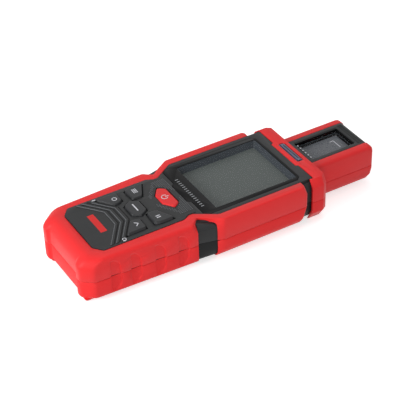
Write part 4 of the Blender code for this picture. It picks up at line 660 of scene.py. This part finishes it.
dressed("front_shell", abs_black, 0.25 * MM)
# The rear shell takes the ABS painted darker as shade
dressed("rear_shell", abs_painted_shade_black, 0.3 * MM)
dressed("sensor_front_shell", abs_red, 0.45 * MM)
dressed("sensor_rear_shell", abs_red, 0.45 * MM)
dressed("sensor_frame", abs_frame, 0.3 * MM)
# The battery door takes the ABS painted darker as shade
dressed("battery_door", abs_painted_shade_black, 0.25 * MM, body="battery_door")
dressed("light_bar_bezel", bar_rim, 0.15 * MM)
dressed("light_bar", diffuser, 0.25 * MM)


# Keys and their marks


def top_outline(node):
    """The outline of a node's top face, in order round its middle."""
    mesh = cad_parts[node].data
    top = max(v.co.z for v in mesh.vertices)
    flat = {(round(v.co.x, 6), round(v.co.y, 6)) for v in mesh.vertices if v.co.z > top - 0.01 * MM}
    mid_x = sum(x for x, y in flat) / len(flat)
    mid_y = sum(y for x, y in flat) / len(flat)
    return sorted(flat, key=lambda p: math.atan2(p[1] - mid_y, p[0] - mid_x)), top


def shrunk(outline, share):
    """An outline drawn in towards its middle."""
    mid_x = sum(x for x, y in outline) / len(outline)
    mid_y = sum(y for x, y in outline) / len(outline)
    return [(mix(mid_x, x, share), mix(mid_y, y, share)) for x, y in outline]


def key(node, look, slot, slope_z):
    """A moulded key: straight shank, sloped sides, a soft shoulder and a slightly domed top."""
    corners, top = top_outline(node)
    top -= 0.08 * MM
    base = fillet([(x, y, 1.3 * MM, 3) for x, y in corners])
    foot_outline = grown(base, KEY_SLOPE - 0.1 * MM)
    rows = [(EAR_TOP_Z, foot_outline), (slope_z - 0.3 * MM, foot_outline),
            (slope_z, grown(base, KEY_SLOPE - 0.15 * MM)),
            (slope_z + 0.25 * MM, grown(base, KEY_SLOPE - 0.3 * MM)),
            (top - 0.5 * MM, grown(base, 0.12 * MM)), (top - 0.26 * MM, grown(base, -0.02 * MM)),
            (top - 0.13 * MM, grown(base, -0.2 * MM)), (top - 0.07 * MM, grown(base, -0.5 * MM))]
    inner = grown(base, -0.5 * MM)
    rows += [(top - 0.07 * MM * share ** 2, shrunk(inner, share)) for share in (0.85, 0.65, 0.4, 0.15)]
    return placed(solid(loft(rows)), node + "_finished", look, node, [node], 50)


def marks(name, shapes, z0, z1, look, body="housing"):
    """Several flat shapes as one raised print."""
    bm = bmesh.new()
    for outline in shapes:
        part = prism(outline, z0, z1)
        mesh = bpy.data.meshes.new("shape")
        part.to_mesh(mesh)
        part.free()
        bm.from_mesh(mesh)
        bpy.data.meshes.remove(mesh)
    return placed(solid(bm), name, look, body)


def bar(x, y, half_x, half_y, turn=0.0):
    """A small bar's outline, turned about its middle."""
    c, s = math.cos(turn), math.sin(turn)
    return [(x + u * c - v * s, y + u * s + v * c)
            for u, v in ((-half_x, -half_y), (half_x, -half_y), (half_x, half_y), (-half_x, half_y))]


def arc_band(x, y, radius, width, start, end, steps=28):
    """Part of a ring as a list of short quads."""
    shapes = []
    for k in range(steps):
        a0 = mix(start, end, k / steps)
        a1 = mix(start, end, (k + 1.02) / steps)
        shapes.append([(x + r * math.cos(a), y + r * math.sin(a))
                       for r, a in ((radius - width, a0), (radius, a0), (radius, a1), (radius - width, a1))])
    return shapes


key("power_key", silicone_red, "power_key_rubber", TOP_Z + POWER_SLOPE_LIFT)
for name in ("centre_key", "upper_left_key", "upper_right_key", "lower_left_key", "lower_right_key"):
    key(name, silicone_black, "key_rubber", TOP_Z + KEY_SLOPE_LIFT)

KEY_MARKS = {
    "centre_key": [bar(0.0, -60.5 * MM, 3.9 * MM, 0.42 * MM)],
    "upper_left_key": [bar(-16.0 * MM, (-53.4 + 1.15 * k) * MM, 2.3 * MM, 0.24 * MM) for k in range(3)],
    "upper_right_key": [bar((15.6 + 1.7 * k) * MM, -52.6 * MM, 0.34 * MM, 1.5 * MM) for k in range(2)],
    "lower_left_key": arc_band(-15.3 * MM, -67.7 * MM, 1.75 * MM, 0.45 * MM, 0, 2 * math.pi),
    "lower_right_key": [bar(14.9 * MM, -68.0 * MM, 1.5 * MM, 0.3 * MM, math.radians(50)),
                        bar(16.8 * MM, -68.0 * MM, 1.5 * MM, 0.3 * MM, math.radians(-50))],
}
for name, shapes in KEY_MARKS.items():
    marks(name + "_mark", shapes, KEY_TOP - INK_DEPTH, KEY_TOP, ink_white, name)
power_sign = arc_band(-0.4 * MM, -38.3 * MM, 2.3 * MM, 0.45 * MM, math.radians(125), math.radians(415))
power_sign.append(bar(-0.4 * MM, -36.6 * MM, 0.24 * MM, 1.3 * MM))
marks("power_key_mark", power_sign, POWER_TOP - INK_DEPTH, POWER_TOP, ink_white, "power_key")


# Prints and raised ribs on the crowned deck


def deck_height(x):
    """The deck's crowned surface."""
    return TOP_Z + DECK_STEP + DECK_CROWN * (1 - (x / PANEL_HALF) ** 2)


def on_deck(name, shapes, lift, look):
    """Flat shapes laid on the crown: each is cut out of a thin shell that follows the deck."""
    bm = bmesh.new()
    for outline in shapes:
        flat = bmesh.new()
        flat.faces.new([flat.verts.new((x, y, 0)) for x, y in outline])
        low = min(x for x, y in outline)
        high = max(x for x, y in outline)
        steps = int((high - low) / (2.5 * MM))
        for k in range(1, steps + 1):
            bmesh.ops.bisect_plane(flat, geom=flat.verts[:] + flat.edges[:] + flat.faces[:],
                                   plane_co=(mix(low, high, k / (steps + 1)), 0, 0), plane_no=(1, 0, 0))
        grown_faces = bmesh.ops.extrude_face_region(flat, geom=flat.faces[:])
        upper = [v for v in grown_faces["geom"] if isinstance(v, bmesh.types.BMVert)]
        raised = set(upper)
        for v in flat.verts:
            v.co.z = deck_height(v.co.x) + (lift if v in raised else -0.25 * MM)
        mesh = bpy.data.meshes.new("shape")
        flat.to_mesh(mesh)
        flat.free()
        bm.from_mesh(mesh)
        bpy.data.meshes.remove(mesh)
    return placed(solid(bm), name, look)


red_field = bar(0.0, -88.65 * MM, 10 * MM, 2.25 * MM)
on_deck("lower_red_field", [red_field], 0.03 * MM, ink_red)
on_deck("deck_bar", [bar(-23.3 * MM, -79.0 * MM, 0.4 * MM, 1.2 * MM)], 0.53 * MM, ink_white)
deck_ring = arc_band(23.7 * MM, -81.4 * MM, 1.35 * MM, 0.4 * MM, 0, 2 * math.pi)
on_deck("deck_ring", deck_ring, 0.53 * MM, ink_white)

# A strip of painted shade along the far side of each chevron; the last one ends short of the ring
for index in range(CHEVRON_COUNT):
    edge_y = CHEVRON_LOW_Y + CHEVRON_PITCH * index + CHEVRON_WIDTH
    reach = SHADE_STRIP_SHORT_REACH if index == CHEVRON_COUNT - 1 else CHEVRON_REACH
    end_y = edge_y + 0.14 * MM + 0.71 * (CHEVRON_REACH - reach)
    path = [(reach, end_y), (CHEVRON_FLAT, edge_y + CHEVRON_RISE)]
    path += [(-x, y) for x, y in reversed(path)]
    far = [(x, y + SHADE_STRIP_WIDTH) for x, y in path]
    shapes = [[path[i], path[i + 1], far[i + 1], far[i]] for i in range(3)]
    # Each strip is painted shade: dark ABS laid flat on the deck
    on_deck("chevron_painted_shade_%d" % (index + 1), shapes, 0.02 * MM, abs_painted_channel_shade)


# What repeats is made by node trees, whose sizes are named inputs


def socket_of(tree, label):
    """The identifier of a tree's named input."""
    return next(item.identifier for item in tree.interface.items_tree
                if item.item_type == "SOCKET" and item.in_out == "INPUT" and item.name == label)


def give_inputs(tree, sockets):
    """Give a tree its geometry output and its named inputs."""
    tree.interface.new_socket("Geometry", in_out="OUTPUT", socket_type="NodeSocketGeometry")
    for label, kind in sockets:
        tree.interface.new_socket(label, in_out="INPUT", socket_type="NodeSocket" + kind)


def bars_tree():
    """Rows and columns of small bars about the middle, on a crown that falls off with the square of x."""
    tree = bpy.data.node_groups.new("bars_on_crown", "GeometryNodeTree")
    give_inputs(tree, [
        ("Columns", "Int"), ("Rows", "Int"), ("Width", "Float"), ("Depth", "Float"), ("Bar size", "Vector"),
        ("Crown", "Float"), ("Inner reach", "Float"), ("Outer reach", "Float"), ("Aspect", "Float"),
        ("Middle", "Vector"), ("Finish", "Material")])
    given = add(tree, "NodeGroupInput").outputs
    grid = add(tree, "GeometryNodeMeshGrid", {}, {"Size X": given["Width"], "Size Y": given["Depth"],
                                                 "Vertices X": given["Columns"], "Vertices Y": given["Rows"]})
    spot = add(tree, "GeometryNodeInputPosition")
    place = add(tree, "ShaderNodeSeparateXYZ", {}, {0: spot.outputs[0]}).outputs
    aside = add(tree, "ShaderNodeMath", {"operation": "ABSOLUTE"}, {0: place[0]})
    along = add(tree, "ShaderNodeMath", {"operation": "ABSOLUTE"}, {0: place[1]})
    below = add(tree, "ShaderNodeMath", {"operation": "MINIMUM"}, {0: place[1], 1: 0.0})
    drawn_in = add(tree, "ShaderNodeMath", {"operation": "ABSOLUTE"}, {0: below.outputs[0]})
    near = add(tree, "ShaderNodeMath", {"operation": "MULTIPLY_ADD"},
               {0: along.outputs[0], 1: given["Aspect"], 2: aside.outputs[0]})
    far = add(tree, "ShaderNodeMath", {"operation": "MULTIPLY_ADD"},
              {0: drawn_in.outputs[0], 1: given["Aspect"], 2: aside.outputs[0]})
    inside = add(tree, "ShaderNodeMath", {"operation": "LESS_THAN"},
                 {0: near.outputs[0], 1: given["Inner reach"]})
    outside = add(tree, "ShaderNodeMath", {"operation": "GREATER_THAN"},
                  {0: far.outputs[0], 1: given["Outer reach"]})
    spare = add(tree, "ShaderNodeMath", {"operation": "MAXIMUM"},
                {0: inside.outputs[0], 1: outside.outputs[0]})
    left = add(tree, "GeometryNodeDeleteGeometry", {"domain": "POINT"},
               {0: grid.outputs[0], 1: spare.outputs[0]})
    square = add(tree, "ShaderNodeMath", {"operation": "MULTIPLY"}, {0: place[0], 1: place[0]})
    fall = add(tree, "ShaderNodeMath", {"operation": "MULTIPLY"}, {0: square.outputs[0], 1: given["Crown"]})
    drop = add(tree, "ShaderNodeCombineXYZ", {}, {2: fall.outputs[0]})
    laid = add(tree, "GeometryNodeSetPosition", {}, {0: left.outputs[0], 3: drop.outputs[0]})
    cube = add(tree, "GeometryNodeMeshCube", {}, {0: given["Bar size"]})
    points = add(tree, "GeometryNodeInstanceOnPoints", {}, {0: laid.outputs[0], 2: cube.outputs[0]})
    moved = add(tree, "GeometryNodeTransform", {},
                {"Geometry": points.outputs[0], "Translation": given["Middle"]})
    real = add(tree, "GeometryNodeRealizeInstances", {}, {0: moved.outputs[0]})
    finished = add(tree, "GeometryNodeSetMaterial", {}, {0: real.outputs[0], 2: given["Finish"]})
    add(tree, "NodeGroupOutput", {}, {0: finished.outputs[0]})
    return tree


def crest_tree():
    """A rounded crest along every path of the object's own mesh."""
    tree = bpy.data.node_groups.new("crest_on_path", "GeometryNodeTree")
    tree.interface.new_socket("Path", in_out="INPUT", socket_type="NodeSocketGeometry")
    give_inputs(tree, [("Radius", "Float"), ("Sides", "Int"), ("Finish", "Material")])
    given = add(tree, "NodeGroupInput").outputs
    path = add(tree, "GeometryNodeMeshToCurve", {}, {0: given["Path"]})
    section = add(tree, "GeometryNodeCurvePrimitiveCircle", {}, {"Resolution": given["Sides"],
                                                               "Radius": given["Radius"]})
    swept = add(tree, "GeometryNodeCurveToMesh", {},
                {"Curve": path.outputs[0], "Profile Curve": section.outputs[0], "Fill Caps": True})
    real = add(tree, "GeometryNodeRealizeInstances", {}, {0: swept.outputs[0]})
    finished = add(tree, "GeometryNodeSetMaterial", {}, {0: real.outputs[0], 2: given["Finish"]})
    add(tree, "NodeGroupOutput", {}, {0: finished.outputs[0]})
    return tree


def grown_by_tree(name, tree, look, slot, body="housing", path=None, **sizes):
    """A piece that a node tree makes from named sizes, and from a path where it follows one."""
    made = solid(path or bmesh.new(), name)
    step = made.modifiers.new("grow", "NODES")
    step.node_group = tree
    step[socket_of(tree, "Finish")] = look
    for label, value in sizes.items():
        step[socket_of(tree, label.replace("_", " "))] = value
    baked(made)
    return placed(made, name, look, body)


def bars(name, look, slot, count, span, size, middle, body="housing"):
    """Straight rows and columns of bars: how many, over what span, how large and where."""
    grown_by_tree(name, BARS, look, slot, body, Columns=count[0], Rows=count[1], Width=span[0] * MM,
                  Depth=span[1] * MM, Bar_size=[side * MM for side in size], Inner_reach=-1.0,
                  Outer_reach=1.0, Middle=[place * MM for place in middle])


BARS = bars_tree()
HATCH_MIDDLE = (0.0, -37.7 * MM, deck_height(0.0))
# The hatch's paler bars are painted highlight on the crests
grown_by_tree("power_hatch", BARS, abs_painted_highlight, "black_abs", Columns=31, Rows=15, Width=39.0 * MM,
              Depth=17.6 * MM, Bar_size=(0.72 * MM, 0.62 * MM, 0.3 * MM), Crown=-DECK_CROWN / PANEL_HALF ** 2,
              Inner_reach=16.0 * MM, Outer_reach=19.6 * MM, Aspect=1.45, Middle=HATCH_MIDDLE)
bars("bezel_scale", ink_grey, "white_plastic", (15, 1), (34.0, 0.0), (0.75, 2.2, 0.1), (2.5, -21.2, 33.5))
bars("frame_end_ribs", abs_black, "black_abs", (17, 1), (24.0, 0.0), (0.5, 3.4, 0.5), (0.0, 110.0, 30.3))
# The door's ribs take the same black, painted darker as shade
bars("door_ribs", abs_painted_shade_black, "black_abs", (1, 5), (0.0, 7.2), (16.0, 0.7, 0.5), (0.0, -97.0, 1.5),
     "battery_door")
# The line over the light bar takes the same black, painted darker as shade
bars("light_bar_line", abs_painted_shade_black, "smoked_diffuser", (1, 1), (0.0, 0.0), (18.6, 0.5, 0.2), (0.0, 60.8, 33.8))
bars("cell_bus_bar", ink_white, "white_plastic", (1, 1), (0.0, 0.0), (9.0, 0.5, 0.1), (0.0, 99.4, 25.6))
bars("cell_bus_tail", ink_white, "white_plastic", (1, 1), (0.0, 0.0), (0.5, 3.0, 0.1), (-4.4, 98.0, 25.6))
bars("window_dots", ink_white, "white_plastic", (6, 1), (16.0, 0.0), (1.3, 0.9, 0.06), (-0.6, 72.5, 29.06))


def crest_paths():
    """The lines that the chevrons' crests follow, over the crown of the deck."""
    lines = bmesh.new()
    rise = CHEVRON_RISE - 0.1 * MM
    for index in range(CHEVRON_COUNT):
        near_y = CHEVRON_LOW_Y + CHEVRON_PITCH * index + 0.25 * MM
        first_step = 1 if index == CHEVRON_COUNT - 1 else 0
        half = [(mix(CHEVRON_REACH, CHEVRON_FLAT, k / 6), near_y + rise * k / 6)
                for k in range(first_step, 7)]
        half += [(mix(CHEVRON_FLAT, 0.0, k / 3), near_y + rise) for k in range(1, 4)]
        line = [lines.verts.new((x, y, deck_height(x) + 0.35 * MM))
                for x, y in half + [(-x, y) for x, y in reversed(half[:-1])]]
        for first, second in zip(line, line[1:]):
            lines.edges.new((first, second))
    return lines


# The chevrons' paler crests are painted highlight
grown_by_tree("chevron_crests", crest_tree(), abs_painted_highlight, "black_abs", path=crest_paths(), Radius=0.3 * MM,
              Sides=10)


# Display


def window_outline(inset):
    """The display window's outline, drawn in by a distance and with its corner radius kept."""
    x = WINDOW_HALF - inset
    low = WINDOW_START + inset
    high = WINDOW_END - inset
    return fillet([(u, v, WINDOW_CORNER, 0) for u, v in ((-x, low), (x, low), (x, high), (-x, high))])


def display():
    """The lens with its printed border, the clear pane over the window and the sloped gasket under it."""
    corners, top = top_outline("display_lens")
    border = fillet([(x, y, 0.9 * MM, 0) for x, y in corners])
    window = window_outline(0.0)
    plate = solid(prism(border, top - 1.5 * MM, top))
    cut(plate, prism(grown(window, 0.5 * MM), top - 3 * MM, top + MM))
    softened(plate, 0.1 * MM, 40.0)
    placed(plate, "lens_border", print_black, stands_for=["display_lens"])
    pane = solid(prism(grown(window, -0.02 * MM), top - 1.0 * MM, top - 0.12 * MM))
    placed(pane, "lens_pane", acrylic_clear)
    gasket = solid(prism(grown(window, 0.48 * MM), GASKET_LOW_Z, top - 0.3 * MM))
    cut(gasket, loft([(28.0 * MM, window_outline(2.3 * MM)), (33.4 * MM, window_outline(-0.3 * MM))]))
    placed(gasket, "display_gasket", abs_slate)


def window_border():
    """The black print along the edge of the sensor's glass, and the sloped seat under it."""
    corners = ((-12.0, 69.9), (12.0, 69.9), (12.0, 107.9), (-12.0, 107.9))
    outer = fillet([(x * MM, y * MM, 0.4 * MM, 0) for x, y in corners])
    drawn_in = [(x * 0.87 * MM, GLASS_MIDDLE_Y + (y * MM - GLASS_MIDDLE_Y) * 0.9) for x, y in corners]
    inner = fillet([(x, y, 1.4 * MM, 0) for x, y in drawn_in])
    border = solid(prism(outer, GLASS_TOP_Z - 0.01 * MM, GLASS_TOP_Z + 0.05 * MM))
    cut(border, prism(inner, 28 * MM, 30 * MM))
    placed(border, "window_border", print_black)
    seat = solid(prism(outer, 25.65 * MM, 27.45 * MM))
    narrow = [(x * 0.82, GLASS_MIDDLE_Y + (y - GLASS_MIDDLE_Y) * 0.92) for x, y in inner]
    cut(seat, loft([(25.0 * MM, narrow), (28.0 * MM, grown(inner, 0.3 * MM))]))
    placed(seat, "window_seat", print_black)


display()
window_border()


# What the solids get, node by node
FINISHES = [
    (glass_clear, ["sensor_window"]),
    (lcd_look, ["lcd_panel"]),
    (abs_slate, ["lcd_frame", "cell_carrier"]),
    (acrylic_white, ["lcd_backlight", "status_led"]),
    (silicon, ["reference_cell"]),
    (solder_mask, ["main_board", "sensor_board"]),
    (epoxy, ["controller_chip", "buzzer"]),
    (film, ["sensor_ribbon"]),
    (sleeve, ["battery_1", "battery_2", "battery_3"]),
    (nickel, [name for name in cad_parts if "screw" in name or "switch" in name or "contact" in name]),
]
for look, nodes in FINISHES:
    for node in nodes:
        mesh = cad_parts[node].data
        for slot in range(len(mesh.materials)):
            mesh.materials[slot] = look


# Stage, light and camera


def white_stage(name):
    """White to the camera and to reflections; to the rest a pale grey, and a floor keeps its shadow."""
    made = bpy.data.materials.new(name)
    made.use_nodes = True
    tree = made.node_tree
    tree.nodes.clear()
    seen = add(tree, "ShaderNodeLightPath")
    direct = add(tree, "ShaderNodeMath", {"operation": "MAXIMUM"},
                 {0: seen.outputs["Is Camera Ray"], 1: seen.outputs["Is Glossy Ray"]})
    through = add(tree, "ShaderNodeMath", {"operation": "MAXIMUM"},
                  {0: direct.outputs[0], 1: seen.outputs["Is Transmission Ray"]})
    white = add(tree, "ShaderNodeEmission", {}, {"Color": linear("#FFFFFF"), "Strength": 1.0})
    paper = add(tree, "ShaderNodeBsdfDiffuse", {}, {"Color": linear("#E4E4E4")})
    glow = add(tree, "ShaderNodeEmission", {}, {"Color": linear("#FFFFFF"), "Strength": 0.62})
    lit = add(tree, "ShaderNodeAddShader", {}, {0: paper.outputs[0], 1: glow.outputs[0]})
    seen_floor = add(tree, "ShaderNodeMixShader", {}, {0: seen.outputs["Is Camera Ray"], 1: white.outputs[0],
                                                     2: lit.outputs[0]})
    both = add(tree, "ShaderNodeMixShader", {}, {0: through.outputs[0], 1: paper.outputs[0],
                                               2: seen_floor.outputs[0]})
    add(tree, "ShaderNodeOutputMaterial", {}, {"Surface": both.outputs[0]})
    return made


floor = solid(box(-3.0, 3.0, -3.0, 3.0, -0.02, -0.0002), "studio_floor")
floor.data.materials.append(white_stage("paper_white"))

world = bpy.data.worlds.new("studio")
bpy.context.scene.world = world
world.use_nodes = True
sky = world.node_tree
backdrop = sky.nodes["Background"]
rays = add(sky, "ShaderNodeLightPath")
seen = add(sky, "ShaderNodeMath", {"operation": "MAXIMUM"},
           {0: rays.outputs["Is Camera Ray"], 1: rays.outputs["Is Glossy Ray"]})
through = add(sky, "ShaderNodeMath", {"operation": "MAXIMUM"},
              {0: seen.outputs[0], 1: rays.outputs["Is Transmission Ray"]})
strength = add(sky, "ShaderNodeMapRange", {}, {0: through.outputs[0], 3: 0.42, 4: 1.0})
sky.links.new(strength.outputs[0], backdrop.inputs["Strength"])
backdrop.inputs["Color"].default_value = linear("#FFFFFF")


def panel_light(name, place, target, size, watts):
    """A square softbox that faces a point."""
    lamp = bpy.data.lights.new(name, "AREA")
    lamp.shape = "SQUARE"
    lamp.size = size
    lamp.energy = watts
    made = bpy.data.objects.new(name, lamp)
    bpy.context.scene.collection.objects.link(made)
    made.location = place
    made.rotation_euler = (Vector(target) - Vector(place)).to_track_quat("-Z", "Y").to_euler()


LAMP_AIM = (0, 0, 0.02)
panel_light("softbox_main", (0.0, -1.3, 0.6), LAMP_AIM, 0.6, 13.8)
panel_light("softbox_top", (-0.3, 0.3, 1.3), LAMP_AIM, 0.9, 4.0)
panel_light("softbox_side", (1.05, -0.6, 0.35), LAMP_AIM, 0.35, 3.9)

# The camera at the photograph's viewing angle, from a fit to symmetric points of the meter
camera_data = bpy.data.cameras.new("photo_camera")
camera_data.sensor_width = 36.0
camera_data.lens = 124.1
camera_data.clip_end = 10.0
camera = bpy.data.objects.new("photo_camera", camera_data)
bpy.context.scene.collection.objects.link(camera)
camera.matrix_world = Matrix((
    (0.5161, -0.5079, 0.6897, 0.6670),
    (0.8561, 0.3293, -0.3982, -0.3910),
    (-0.0249, 0.7960, 0.6048, 0.5978),
    (0.0, 0.0, 0.0, 1.0)))
bpy.context.scene.camera = camera
bpy.context.scene.view_settings.view_transform = "Standard"
